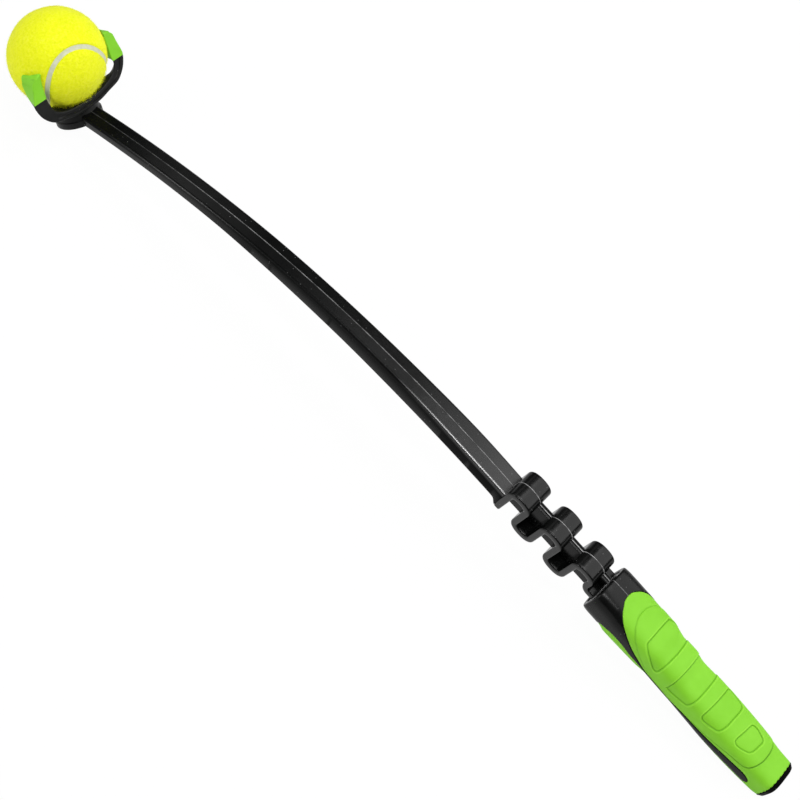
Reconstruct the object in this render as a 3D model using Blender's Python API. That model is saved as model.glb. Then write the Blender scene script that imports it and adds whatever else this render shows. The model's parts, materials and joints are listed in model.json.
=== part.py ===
"""A tennis ball launcher for dog walks, with the ball held in its claw.

The launcher lies as it would on a table, resting on the rim of the claw's hub and on the
lower edge of the butt. X runs from the claw to the handle, Y across, Z up. The handle frame
has its origin where the arm meets the sprung neck. The claw frame has its origin at the
ball's centre, its Z along the way the ball leaves, and its X towards the handle.
"""
import math

import bmesh
import bpy
from mathutils import Matrix, Vector

# Clearances
FIT_GAP = 0.0003
BALL_GAP = 0.00035
CUT_OVERRUN = 0.005

# Ball
BALL_RADIUS = 0.03175
FELT_THICKNESS = 0.0026
RUBBER_WALL = 0.0033
SEAM_WIDTH = 0.0025
SEAM_DEPTH = 0.0005
SEAM_SWING_SHARE = 0.16
BALL_ROLL = math.radians(12.3)
BALL_PITCH = math.radians(-22.8)
BALL_YAW = math.radians(117)

# Arm
ARM_RUN = 0.358
ARM_DROP = 0.0702
ARM_NECK_RISE_ANGLE = math.radians(2.3)
ARM_CLAW_FALL_ANGLE = math.radians(24)
ARM_EDGE_RADIUS = 0.0022
# Along the arm from neck to claw: share of the run, half width, thickness
ARM_HALF_WIDTH = 0.0094
ARM_THICKNESS = 0.0124
ARM_SECTION_SHARES = (
    (0.000, 1.00, 0.94),
    (0.012, 1.00, 0.89),
    (0.080, 1.01, 0.90),
    (0.250, 0.91, 1.02),
    (0.420, 0.86, 0.98),
    (0.560, 0.85, 0.86),
    (0.700, 0.84, 0.68),
    (0.850, 0.82, 0.61),
    (1.000, 0.77, 0.60),
)

# Claw
CLAW_TILT = math.radians(42)
HUB_RADIUS = 0.0158
HUB_HEIGHT = 0.0092
ARM_ROOT = 0.0032
ARM_SEAT = 0.0023
TONGUE_LENGTH = 0.0085
TONGUE_WIDTH = 0.003
TONGUE_THICKNESS = 0.0022
TONGUE_SEAT_SHARE = 0.6
TONGUE_ROOT_SHARE = 0.25
TONGUE_REACH_SHARE = 0.395
# Half of the claw's outline from the base up one side, in shares of the ball's seat radius:
# rim inner point, rim outer point, then in X the rim and the front edge, then the front
# edge's gap to the seat and its wall
BAND_SHARES = (
    ((0.000, -0.915), (0.000, -1.110), 0.461, -0.31, 0.000, 0.13),
    ((0.290, -0.900), (0.293, -1.090), 0.461, -0.31, 0.000, 0.13),
    ((0.530, -0.860), (0.600, -1.022), 0.461, -0.10, 0.000, 0.13),
    ((0.716, -0.791), (0.866, -0.957), 0.461, 0.27, 0.090, 0.20),
    ((0.815, -0.728), (1.020, -0.850), 0.461, 0.33, 0.175, 0.18),
    ((0.878, -0.645), (1.137, -0.704), 0.461, 0.33, 0.225, 0.13),
    ((0.904, -0.542), (1.202, -0.542), 0.461, 0.33, 0.250, 0.11),
    ((0.897, -0.442), (1.212, -0.461), 0.461, 0.16, 0.100, 0.13),
    ((0.880, -0.156), (1.140, -0.187), 0.490, 0.12, 0.000, 0.10),
    ((0.865, 0.016), (1.093, 0.000), 0.510, 0.12, 0.000, 0.08),
    ((0.845, 0.115), (1.020, 0.070), 0.530, 0.12, 0.000, 0.05),
)
BAND_ROOT_STATION = 3
TIP_START_SHARE = -0.46

# Neck
NECK_WIDTH = 0.0236
NECK_WALL = 0.0046
NECK_HALF_PITCH = 0.0143
NECK_LOBES = 5
NECK_TOP = 0.0129
NECK_BOTTOM = 0.0153
NECK_LOBE_RISE = 0.0043
NECK_FOOT = 0.0118
NECK_HOOK_DEPTH = 0.004
NECK_HOOK_RADIUS = 0.004
NECK_TAIL = 0.0036
WEB_THICKNESS = 0.0053
WEB_TOP = 0.008
WEB_BOTTOM = 0.011

# Handle
HANDLE_LENGTH = 0.1608
HANDLE_HALF_WIDTH = 0.017
HANDLE_HALF_HEIGHT = 0.0133
HANDLE_DROP = 0.0067
HANDLE_EXPONENT = 3.5
SLEEVE_WALL = 0.0022
BUTT_FLANGE = 0.0026
# From the collar to the butt: share of the length, of the half sizes and of the drop
HANDLE_SHARES = (
    (0.000, 0.940, 0.14),
    (0.012, 0.975, 0.14),
    (0.035, 0.992, 0.14),
    (0.090, 0.995, 0.16),
    (0.130, 1.020, 0.30),
    (0.235, 1.005, 0.30),
    (0.300, 0.990, 0.29),
    (0.360, 0.922, 0.38),
    (0.420, 0.928, 0.40),
    (0.482, 0.895, 0.60),
    (0.545, 0.915, 0.61),
    (0.607, 0.929, 0.67),
    (0.670, 0.944, 0.76),
    (0.730, 0.939, 0.82),
    (0.795, 0.924, 0.86),
    (0.855, 0.900, 0.90),
    (0.918, 0.857, 0.97),
    (0.955, 0.839, 0.94),
    (0.982, 0.810, 0.86),
    (1.000, 0.720, 0.84),
)
# The bare window down each side of the grip runs from the collar into a stripe. Upper and
# lower border: places along the handle in shares of its length, heights in shares of its
# half height
WINDOW_TOP_SHARES = (
    (0.084, 0.915),
    (0.104, 0.865),
    (0.129, 0.750),
    (0.155, 0.610),
    (0.184, 0.440),
    (0.212, 0.230),
    (0.239, 0.020),
    (0.265, -0.130),
    (0.290, -0.260),
    (0.323, -0.450),
    (0.348, -0.585),
    (0.373, -0.650),
    (0.490, -0.740),
    (0.550, -0.680),
    (0.645, -0.565),
    (0.736, -0.420),
    (0.825, -0.280),
    (0.885, -0.235),
)
WINDOW_FLOOR_SHARES = (
    (0.085, -0.620),
    (0.099, -0.510),
    (0.125, -0.380),
    (0.146, -0.320),
    (0.204, -0.320),
    (0.252, -0.440),
    (0.291, -0.480),
    (0.315, -0.520),
    (0.348, -0.675),
    (0.373, -0.750),
    (0.490, -0.870),
    (0.645, -0.900),
    (0.736, -0.895),
    (0.885, -0.865),
)

# Fineness of round surfaces
BALL_SEGMENTS = 24
BALL_RINGS = 6
PANEL_ROWS = 32
PANEL_COLUMNS = 12
SEAM_SEGMENTS = 64
ROOM_SEGMENTS = 48
ROOM_RINGS = 10
HUB_SEGMENTS = 32
LOBE_STEPS = 8
ARM_STEPS = 30
HANDLE_SEGMENTS = 28
STRIPE_END_STEPS = 6
LEVEL_TOLERANCE = math.radians(0.001)

SEAT_RADIUS = BALL_RADIUS + BALL_GAP
CLAW_GUIDE_REACH = 3 * SEAT_RADIUS
BASE_INNER = BAND_SHARES[0][0][1] * SEAT_RADIUS
BASE_OUTER = BAND_SHARES[0][1][1] * SEAT_RADIUS
HUB_FOOT = BASE_OUTER - HUB_HEIGHT
NECK_LENGTH = NECK_WALL / 2 + NECK_LOBES * NECK_HALF_PITCH + NECK_HOOK_RADIUS + NECK_TAIL
HANDLE_START = NECK_LENGTH + FIT_GAP
NECK_PIVOT = Vector((NECK_LENGTH / 2, 0, 0))


def material(name, colour, roughness, metallic=0.0):
    """Return a Principled material."""
    made = bpy.data.materials.new(name)
    made.use_nodes = True
    shader = made.node_tree.nodes["Principled BSDF"]
    shader.inputs["Base Color"].default_value = (*colour, 1)
    shader.inputs["Roughness"].default_value = roughness
    shader.inputs["Metallic"].default_value = metallic
    return made


def empty(name, parent=None, location=(0, 0, 0), turn=None):
    """Return an empty, which carries what moves with it."""
    made = bpy.data.objects.new(name, None)
    bpy.context.collection.objects.link(made)
    made.parent = parent
    made.matrix_local = Matrix.Translation(location) @ (turn or Matrix())
    return made


def add_object(name, mesh, parent, look, smooth=True):
    """Turn a bmesh into a named object under its parent."""
    bmesh.ops.recalc_face_normals(mesh, faces=mesh.faces)
    data = bpy.data.meshes.new(name)
    mesh.to_mesh(data)
    mesh.free()
    if smooth:
        data.shade_smooth()
        data.set_sharp_from_angle(angle=math.radians(35))
    if look:
        data.materials.append(look)
    made = bpy.data.objects.new(name, data)
    bpy.context.collection.objects.link(made)
    made.parent = parent
    return made


def guide(name, mesh, parent):
    """Make a hidden shape that only cuts or joins."""
    made = add_object(name, mesh, parent, None, smooth=False)
    made.hide_render = True
    made.display_type = "WIRE"
    return made


def combine(target, other, operation):
    """Add a Boolean modifier to the target."""
    step = target.modifiers.new(f"{operation}_{other.name}", "BOOLEAN")
    step.operation = operation
    step.solver = "EXACT"
    step.object = other


def loft(rings):
    """Skin closed rings of equal length and cap both ends."""
    mesh = bmesh.new()
    rows = [[mesh.verts.new(point) for point in ring] for ring in rings]
    for lower, upper in zip(rows, rows[1:]):
        for i in range(len(lower)):
            j = (i + 1) % len(lower)
            mesh.faces.new((lower[i], lower[j], upper[j], upper[i]))
    mesh.faces.new(reversed(rows[0]))
    mesh.faces.new(rows[-1])
    return mesh


def prism(outline, half_width):
    """Extrude an outline in X and Z to both sides of Y = 0."""
    mesh = bmesh.new()
    near = [mesh.verts.new((x, -half_width, z)) for x, z in outline]
    face = mesh.faces.new(near)
    moved = bmesh.ops.extrude_face_region(mesh, geom=[face])["geom"]
    far = [item for item in moved if isinstance(item, bmesh.types.BMVert)]
    bmesh.ops.translate(mesh, verts=far, vec=(0, 2 * half_width, 0))
    return mesh


def hub_drum(radius, low, high):
    """Return a cylinder about Z between two heights, with a facet square to X."""
    mesh = bmesh.new()
    turn = Matrix.Rotation(math.pi / HUB_SEGMENTS, 4, "Z")
    place = Matrix.Translation((0, 0, (low + high) / 2)) @ turn
    bmesh.ops.create_cone(
        mesh, cap_ends=True, segments=HUB_SEGMENTS, radius1=radius, radius2=radius,
        depth=high - low, matrix=place,
    )
    return mesh


def blend_shares(table, share):
    """Interpolate a table whose first column rises."""
    for first, second in zip(table, table[1:]):
        if share <= second[0]:
            part = (share - first[0]) / (second[0] - first[0])
            return [a + (b - a) * part for a, b in zip(first[1:], second[1:])]
    return list(table[-1][1:])


def arm_height(share):
    """Height of the arm's top at a share of its run, from the neck to the claw."""
    start_slope = math.tan(ARM_NECK_RISE_ANGLE) * ARM_RUN
    end_slope = -math.tan(ARM_CLAW_FALL_ANGLE) * ARM_RUN
    rise = share * (1 - share) ** 2 * start_slope
    fall = share ** 2 * (share - 1) * end_slope
    drop = share ** 2 * (3 - 2 * share) * ARM_DROP
    return rise + fall - drop


def arm_ring(share):
    """Section of the arm at a share of its run."""
    width_share, thick_share = blend_shares(ARM_SECTION_SHARES, share)
    half = ARM_HALF_WIDTH * width_share
    thick = ARM_THICKNESS * thick_share
    edge = ARM_EDGE_RADIUS
    x = -FIT_GAP - ARM_RUN * share
    top = arm_height(share)
    side = (
        (half, -thick + edge),
        (half, -edge),
        (half - edge * (1 - math.sqrt(0.5)), -edge * (1 - math.sqrt(0.5))),
        (half - edge, 0),
    )
    near = [(-y, z) for y, z in reversed(side)]
    base = ((-half + edge, -thick), (half - edge, -thick))
    outline = list(side) + near + list(base)
    return [Vector((x, y, top + z)) for y, z in outline]


def build_arm(neck_pivot, claw, look):
    """The long curved arm, ending against the claw's hub."""
    shares = [i / ARM_STEPS for i in range(ARM_STEPS + 1)]
    shares = sorted(shares + [row[0] for row in ARM_SECTION_SHARES[1:-1]])
    mesh = loft([arm_ring(share) for share in shares])
    bmesh.ops.translate(mesh, verts=mesh.verts, vec=-NECK_PIVOT)
    arm = add_object("arm", mesh, neck_pivot, look)
    room = hub_drum(HUB_RADIUS + FIT_GAP, 2 * HUB_FOOT, 0)
    combine(arm, guide("hub_room", room, claw), "DIFFERENCE")
    return arm


def claw_place():
    """Place and turn of the claw: the arm's end lies in the rim of the hub, below the base."""
    turn = Matrix.Rotation(CLAW_TILT - math.pi / 2, 4, "Y")
    arm_end = Vector((-FIT_GAP - ARM_RUN, 0, arm_height(1)))
    from_ball = turn @ Vector((HUB_RADIUS - ARM_ROOT, 0, BASE_OUTER - ARM_SEAT))
    return arm_end - from_ball - NECK_PIVOT, turn


def ball_room():
    """The space that the ball fills and slides out through."""
    mesh = bmesh.new()
    profile = []
    for i in range(ROOM_RINGS + 1):
        angle = math.pi / 2 * i / ROOM_RINGS
        profile.append((SEAT_RADIUS * math.sin(angle), -SEAT_RADIUS * math.cos(angle)))
    profile += [(SEAT_RADIUS, 2 * SEAT_RADIUS), (0, 2 * SEAT_RADIUS)]
    verts = [mesh.verts.new((r, 0, z)) for r, z in profile]
    edges = [mesh.edges.new(pair) for pair in zip(verts, verts[1:])]
    bmesh.ops.spin(
        mesh, geom=verts + edges, cent=(0, 0, 0), axis=(0, 0, 1),
        angle=math.tau, steps=ROOM_SEGMENTS, use_duplicate=False,
    )
    bmesh.ops.remove_doubles(mesh, verts=mesh.verts, dist=FIT_GAP / 10)
    return mesh


def front_edge(inner, reach, gap, wall):
    """Points of the claw's front edge, a gap away from the ball's seat."""
    across = math.sqrt(SEAT_RADIUS ** 2 - reach ** 2) + gap
    y, z = inner
    angle = math.atan2(y, -z)
    if z < 0:
        inside = (across * math.sin(angle), -across * math.cos(angle))
        outside = ((across + wall) * math.sin(angle), -(across + wall) * math.cos(angle))
    else:
        inside = (across, z)
        outside = (across + wall, z - wall)
    return inside, outside


def band_ring(station, side):
    """Section of the claw at one station: rim inner, rim outer, front outer, front inner."""
    inner_shares, outer_shares, *depth_shares = BAND_SHARES[station]
    inner = [share * SEAT_RADIUS for share in inner_shares]
    outer = [share * SEAT_RADIUS for share in outer_shares]
    rim, reach, gap, wall = (share * SEAT_RADIUS for share in depth_shares)
    inside, outside = front_edge(inner, reach, gap, wall)
    return [
        Vector((rim, side * inner[0], inner[1])),
        Vector((rim, side * outer[0], outer[1])),
        Vector((reach, side * outside[0], outside[1])),
        Vector((reach, side * inside[0], inside[1])),
    ]


def moved_towards(ring, goal, distance):
    """Move a whole ring a set distance towards the next one."""
    way = sum(goal, Vector()) - sum(ring, Vector())
    return [point + way.normalized() * distance for point in ring]


def half_space(edge, above):
    """A block that fills the claw's space above or below a height."""
    reach = CLAW_GUIDE_REACH
    low, high = (edge, reach) if above else (-reach, edge)
    outline = ((-reach, low), (reach, low), (reach, high), (-reach, high))
    return prism(outline, reach)


def build_cradle(claw, room, look):
    """The base of the claw, with the round hub below it."""
    turn = range(BAND_ROOT_STATION, 0, -1)
    rings = [band_ring(i, -1) for i in turn]
    rings += [band_ring(i, 1) for i in range(BAND_ROOT_STATION + 1)]
    cradle = add_object("claw_cradle", loft(rings), claw, look)
    hub = guide("hub", hub_drum(HUB_RADIUS, HUB_FOOT, (BASE_INNER + BASE_OUTER) / 2), claw)
    combine(cradle, hub, "UNION")
    combine(cradle, room, "DIFFERENCE")
    return cradle


def prong_hinge(side):
    """Outer corner of the prong's root, about which the prong flexes."""
    root = band_ring(BAND_ROOT_STATION, side)
    return Vector((0, root[1].y, root[1].z))


def tongue(side, gap):
    """The inner blade of a prong, which its soft tip is moulded over."""
    half_x = TONGUE_WIDTH / 2 + gap
    half_y = TONGUE_THICKNESS / 2 + gap
    seat = SEAT_RADIUS + TONGUE_THICKNESS * TONGUE_SEAT_SHARE
    centre = Vector((SEAT_RADIUS * TONGUE_REACH_SHARE, side * seat, 0))
    low = TIP_START_SHARE * SEAT_RADIUS - TONGUE_LENGTH * TONGUE_ROOT_SHARE
    high = TIP_START_SHARE * SEAT_RADIUS + TONGUE_LENGTH + gap
    corners = ((-half_x, -half_y), (half_x, -half_y), (half_x, half_y), (-half_x, half_y))
    return loft([
        [centre + Vector((x, y, z)) for x, y in corners]
        for z in (low, high)
    ])


def arm_of_claw(side):
    """One side of the claw from the prong's root to the end of its tip."""
    rings = [band_ring(i, side) for i in range(BAND_ROOT_STATION, len(BAND_SHARES))]
    rings[0] = moved_towards(rings[0], rings[1], FIT_GAP)
    mesh = loft(rings)
    bmesh.ops.translate(mesh, verts=mesh.verts, vec=-prong_hinge(side))
    return mesh


def build_prong(claw, pivot, room, side, name, look):
    """One black prong, from its root up to the soft tip."""
    prong = add_object(f"prong_{name}", arm_of_claw(side), pivot, look)
    combine(prong, room, "DIFFERENCE")
    above = half_space(TIP_START_SHARE * SEAT_RADIUS, above=True)
    combine(prong, guide(f"above_prong_{name}", above, claw), "DIFFERENCE")
    blade = tongue(side, 0)
    combine(prong, guide(f"tongue_{name}", blade, claw), "UNION")
    return prong


def build_tip(claw, pivot, room, side, name, look):
    """One soft tip, moulded over the end of its prong."""
    tip = add_object(f"tip_{name}", arm_of_claw(side), pivot, look)
    slot = tongue(side, FIT_GAP)
    combine(tip, guide(f"tongue_slot_{name}", slot, claw), "DIFFERENCE")
    below = half_space(TIP_START_SHARE * SEAT_RADIUS + FIT_GAP, above=False)
    combine(tip, guide(f"below_tip_{name}", below, claw), "DIFFERENCE")
    combine(tip, room, "DIFFERENCE")
    return tip


def seam_point(turn):
    """Point on the unit sphere along the ball's seam."""
    swing = SEAM_SWING_SHARE
    main = 1 - swing
    return Vector((
        main * math.cos(turn) + swing * math.cos(3 * turn),
        main * math.sin(turn) - swing * math.sin(3 * turn),
        2 * math.sqrt(main * swing) * math.sin(2 * turn),
    ))


def beside_seam(turn, offset):
    """Point on the unit sphere a set angle to the left of the seam."""
    step = math.tau / 1000
    here = seam_point(turn).normalized()
    along = (seam_point(turn + step) - seam_point(turn - step)).normalized()
    left = here.cross(along).normalized()
    return (here * math.cos(offset) + left * math.sin(offset)).normalized()


def panel_rows(flip, offset):
    """Rows of unit points that cover one dog-bone panel from lobe to lobe."""
    first = -math.pi / 4 + (math.pi / 2 if flip else 0)
    sign = -1 if flip else 1
    rows = []
    for i in range(1, PANEL_ROWS):
        share = i / PANEL_ROWS
        turn = first + math.pi * share
        mirror = first - math.pi * share
        start = beside_seam(turn, sign * offset)
        end = beside_seam(mirror, sign * offset)
        row = [start.slerp(end, j / PANEL_COLUMNS) for j in range(PANEL_COLUMNS + 1)]
        rows.append(row)
    ends = [beside_seam(first + math.pi * k, sign * offset) for k in (0, 1)]
    return rows, ends


def curved_sheet(rows, ends, outer, inner):
    """Closed sheet between two radii over rows that close to a point at both ends."""
    mesh = bmesh.new()
    skins = []
    for radius in (outer, inner):
        grid = [[mesh.verts.new(point * radius) for point in row] for row in rows]
        tips = [mesh.verts.new(point * radius) for point in ends]
        skins.append((grid, tips))
        for lower, upper in zip(grid, grid[1:]):
            for j in range(len(lower) - 1):
                mesh.faces.new((lower[j], lower[j + 1], upper[j + 1], upper[j]))
        for row, tip in ((grid[0], tips[0]), (grid[-1], tips[1])):
            for a, b in zip(row, row[1:]):
                mesh.faces.new((a, b, tip))
    borders = []
    for grid, tips in skins:
        border = [tips[0]] + [row[0] for row in grid] + [tips[1]]
        border += [row[-1] for row in reversed(grid)]
        borders.append(border)
    count = len(borders[0])
    for i in range(count):
        j = (i + 1) % count
        mesh.faces.new((borders[0][i], borders[0][j], borders[1][j], borders[1][i]))
    return mesh


def build_felt(ball, look):
    """The two felt panels, each a dog bone wrapped round the ball."""
    half = (SEAM_WIDTH / 2 + FIT_GAP) / BALL_RADIUS
    for name, flip in (("a", False), ("b", True)):
        rows, ends = panel_rows(flip, half)
        mesh = curved_sheet(rows, ends, BALL_RADIUS, BALL_RADIUS - FELT_THICKNESS)
        add_object(f"felt_panel_{name}", mesh, ball, look)


def build_seam(ball, look):
    """The pale rubber line between the felt panels."""
    half = SEAM_WIDTH / 2 / BALL_RADIUS
    outer = BALL_RADIUS - SEAM_DEPTH
    inner = BALL_RADIUS - FELT_THICKNESS
    mesh = bmesh.new()
    rows = []
    for i in range(SEAM_SEGMENTS):
        turn = math.tau * i / SEAM_SEGMENTS
        left, right = beside_seam(turn, half), beside_seam(turn, -half)
        corners = (left * outer, right * outer, right * inner, left * inner)
        rows.append([mesh.verts.new(corner) for corner in corners])
    for i, row in enumerate(rows):
        after = rows[(i + 1) % SEAM_SEGMENTS]
        for j in range(4):
            k = (j + 1) % 4
            mesh.faces.new((row[j], row[k], after[k], after[j]))
    add_object("ball_seam", mesh, ball, look)


def build_core(ball, look):
    """The two rubber cups that make the ball's hollow core."""
    outer = BALL_RADIUS - FELT_THICKNESS - FIT_GAP
    inner = outer - RUBBER_WALL
    for name, side in (("lower", -1), ("upper", 1)):
        profile = []
        for i in range(BALL_RINGS + 1):
            angle = math.pi / 2 * i / BALL_RINGS
            profile.append((outer * math.sin(angle), outer * math.cos(angle)))
        for i in range(BALL_RINGS, -1, -1):
            angle = math.pi / 2 * i / BALL_RINGS
            profile.append((inner * math.sin(angle), inner * math.cos(angle)))
        mesh = bmesh.new()
        verts = [mesh.verts.new((r, 0, side * (z + FIT_GAP / 2))) for r, z in profile]
        edges = [mesh.edges.new(pair) for pair in zip(verts, verts[1:])]
        bmesh.ops.spin(
            mesh, geom=verts + edges, cent=(0, 0, 0), axis=(0, 0, 1),
            angle=math.tau, steps=BALL_SEGMENTS, use_duplicate=False,
        )
        bmesh.ops.remove_doubles(mesh, verts=mesh.verts, dist=FIT_GAP / 10)
        add_object(f"ball_core_{name}", mesh, ball, look)


def neck_path():
    """Middle line of the neck's folded strip, as points with their tangents."""
    left = NECK_WALL / 2
    top = NECK_TOP - NECK_WALL / 2 - NECK_LOBE_RISE
    bottom = -NECK_BOTTOM + NECK_WALL / 2 + NECK_LOBE_RISE
    half = NECK_HALF_PITCH / 2
    path = [(left, -NECK_FOOT, 0, 1)]
    for lobe in range(NECK_LOBES):
        up = 1 if lobe % 2 == 0 else -1
        base = top if up > 0 else bottom
        centre = left + lobe * NECK_HALF_PITCH + half
        for i in range(LOBE_STEPS + 1):
            angle = math.pi * (1 - i / LOBE_STEPS)
            x = centre + half * math.cos(angle)
            z = base + up * NECK_LOBE_RISE * math.sin(angle)
            along = Vector((half * math.sin(angle), -up * NECK_LOBE_RISE * math.cos(angle)))
            along.normalize()
            path.append((x, z, along.x, along.y))
    last = left + NECK_LOBES * NECK_HALF_PITCH
    middle = -NECK_HOOK_DEPTH + NECK_WALL / 2
    for i in range(LOBE_STEPS // 2 + 1):
        angle = math.pi / 2 * i / (LOBE_STEPS // 2)
        x = last + NECK_HOOK_RADIUS * (1 - math.cos(angle))
        z = middle + NECK_HOOK_RADIUS * (1 - math.sin(angle))
        path.append((x, z, math.sin(angle), -math.cos(angle)))
    path.append((NECK_LENGTH, middle, 1, 0))
    return path


def build_neck(root, look):
    """The folded strip that lets the arm flex, stiffened by a web along its middle."""
    half = NECK_WIDTH / 2
    rings = []
    for x, z, along_x, along_z in neck_path():
        across = Vector((-along_z, 0, along_x)) * (NECK_WALL / 2)
        centre = Vector((x, 0, z))
        reach = Vector((0, half, 0))
        upper, lower = centre + across, centre - across
        rings.append([upper - reach, upper + reach, lower + reach, lower - reach])
    neck = add_object("flex_neck", loft(rings), root, look)
    start = NECK_WALL / 2
    outline = (
        (start, -WEB_BOTTOM), (NECK_LENGTH, -WEB_BOTTOM),
        (NECK_LENGTH, WEB_TOP), (start, WEB_TOP),
    )
    combine(neck, guide("neck_web", prism(outline, WEB_THICKNESS / 2), root), "UNION")
    return neck


def handle_ring(share, inset, stretch=0.0):
    """Section of the handle at a share of its length, drawn in by an inset."""
    size, drop = blend_shares(HANDLE_SHARES, share)
    half_y = HANDLE_HALF_WIDTH * size - inset
    half_z = HANDLE_HALF_HEIGHT * size - inset
    power = 2 / HANDLE_EXPONENT
    x = HANDLE_START + HANDLE_LENGTH * share + stretch
    ring = []
    for i in range(HANDLE_SEGMENTS):
        angle = math.tau * (i + 0.5) / HANDLE_SEGMENTS
        c, s = math.cos(angle), math.sin(angle)
        y = half_y * math.copysign(abs(c) ** power, c)
        z = half_z * math.copysign(abs(s) ** power, s)
        ring.append(Vector((x, y, z - HANDLE_DROP * drop)))
    return ring


def handle_loft(inset, first, last):
    """Loft of the handle between two shares of its length."""
    middle = [row[0] for row in HANDLE_SHARES if first < row[0] < last]
    return loft([handle_ring(share, inset) for share in [first, *middle, last]])


def stripe_end(upper, lower):
    """Points round the stripe's end, between the ends of its two borders."""
    middle = (Vector(upper) + Vector(lower)) / 2
    arm = Vector(upper) - middle
    points = []
    for i in range(1, STRIPE_END_STEPS):
        angle = math.pi * i / STRIPE_END_STEPS
        c, s = math.cos(angle), math.sin(angle)
        points.append((middle.x + arm.x * c + arm.y * s, middle.y + arm.y * c - arm.x * s))
    return points


def window_outline(gap):
    """Side outline of the handle's bare part: collar, wedge and stripe, less a gap."""
    over = HANDLE_HALF_WIDTH + CUT_OVERRUN
    reach = 2 * over
    front = HANDLE_START - over

    def border(shares, shift):
        return [(HANDLE_START + HANDLE_LENGTH * share - gap, HANDLE_HALF_HEIGHT * height + shift)
                for share, height in shares]

    top = border(WINDOW_TOP_SHARES, -gap)
    floor = border(WINDOW_FLOOR_SHARES, gap)
    start = [(front, -reach), (front, reach), (top[0][0], reach)]
    return start + top + stripe_end(top[-1], floor[-1]) + floor[::-1] + [(floor[0][0], -reach)]


def build_handle_core(root, look):
    """Black inner handle: collar, side stripes and butt flange stand flush with the grip."""
    flange_share = BUTT_FLANGE / HANDLE_LENGTH
    half = HANDLE_HALF_WIDTH + CUT_OVERRUN
    core = add_object("handle_core", handle_loft(0, 0, 1), root, look)
    region = guide("core_region", prism(window_outline(FIT_GAP), half), root)
    combine(core, region, "INTERSECT")
    inner = handle_loft(SLEEVE_WALL + FIT_GAP, HANDLE_SHARES[1][0], 1 - flange_share / 2)
    combine(core, guide("core_middle", inner, root), "UNION")
    flange = handle_loft(0, 1 - flange_share, 1)
    combine(core, guide("butt_flange", flange, root), "UNION")
    return core


def build_sleeve(root, look):
    """Soft green grip moulded over the core, open along the bare window."""
    last = 1 - (BUTT_FLANGE + FIT_GAP) / HANDLE_LENGTH
    first = HANDLE_SHARES[2][0]
    sleeve = add_object("grip_sleeve", handle_loft(0, first, last), root, look)
    bore = loft([
        handle_ring(first, SLEEVE_WALL, -CUT_OVERRUN),
        *[handle_ring(row[0], SLEEVE_WALL) for row in HANDLE_SHARES if first < row[0] < last],
        handle_ring(last, SLEEVE_WALL),
        handle_ring(last, SLEEVE_WALL, CUT_OVERRUN),
    ])
    combine(sleeve, guide("sleeve_bore", bore, root), "DIFFERENCE")
    half = HANDLE_HALF_WIDTH + CUT_OVERRUN
    window = guide("sleeve_window", prism(window_outline(0), half), root)
    combine(sleeve, window, "DIFFERENCE")
    return sleeve


def world_points(names):
    """World places of the named objects' corners, as the viewport shows them."""
    graph = bpy.context.evaluated_depsgraph_get()
    points = []
    for name in names:
        shown = bpy.data.objects[name].evaluated_get(graph)
        points += [shown.matrix_world @ vertex.co for vertex in shown.data.vertices]
    return points


def stand_on_floor(root, claw_names, handle_names):
    """Tilt the launcher until claw and handle touch the floor, and centre it over the origin."""
    slope = math.pi
    while abs(slope) > LEVEL_TOLERANCE:
        claw_low = min(world_points(claw_names), key=lambda point: point.z)
        handle_low = min(world_points(handle_names), key=lambda point: point.z)
        slope = math.atan2(handle_low.z - claw_low.z, handle_low.x - claw_low.x)
        root.rotation_euler.y += slope
        bpy.context.view_layer.update()
    points = world_points([item.name for item in bpy.data.objects
                           if item.type == "MESH" and not item.hide_render])
    lows = [min(point[axis] for point in points) for axis in range(3)]
    highs = [max(point[axis] for point in points) for axis in range(3)]
    middle_x, middle_y = (lows[0] + highs[0]) / 2, (lows[1] + highs[1]) / 2
    root.location = root.location - Vector((middle_x, middle_y, lows[2]))
    bpy.context.view_layer.update()


def main():
    for item in list(bpy.data.objects):
        bpy.data.objects.remove(item, do_unlink=True)

    plastic = material("black_plastic", (0.012, 0.012, 0.013), 0.45)
    soft_green = material("green_grip", (0.20, 0.62, 0.06), 0.6)
    felt = material("yellow_felt", (0.72, 0.80, 0.01), 0.95)
    seam_rubber = material("seam_rubber", (0.58, 0.62, 0.48), 0.8)
    core_rubber = material("core_rubber", (0.10, 0.10, 0.09), 0.8)

    root = empty("launcher")
    neck_pivot = empty("neck_pivot", root, NECK_PIVOT)
    claw = empty("claw_frame", neck_pivot, *claw_place())
    spin = (Matrix.Rotation(BALL_YAW, 4, "Z") @ Matrix.Rotation(BALL_PITCH, 4, "Y")
            @ Matrix.Rotation(BALL_ROLL, 4, "X"))
    ball = empty("ball_frame", claw, turn=spin)

    build_core(ball, core_rubber)
    build_felt(ball, felt)
    build_seam(ball, seam_rubber)
    room = guide("ball_room", ball_room(), claw)
    build_cradle(claw, room, plastic)
    for name, side in (("left", -1), ("right", 1)):
        pivot = empty(f"prong_pivot_{name}", claw, prong_hinge(side))
        build_prong(claw, pivot, room, side, name, plastic)
        build_tip(claw, pivot, room, side, name, soft_green)
    build_arm(neck_pivot, claw, plastic)
    build_neck(root, plastic)
    build_handle_core(root, plastic)
    build_sleeve(root, soft_green)

    bpy.context.view_layer.update()
    stand_on_floor(root, ["claw_cradle"], ["handle_core", "grip_sleeve"])


main()
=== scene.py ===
import json
import math
import random

import bmesh
import bpy
import numpy as np
from mathutils import Matrix, Vector, noise


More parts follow.
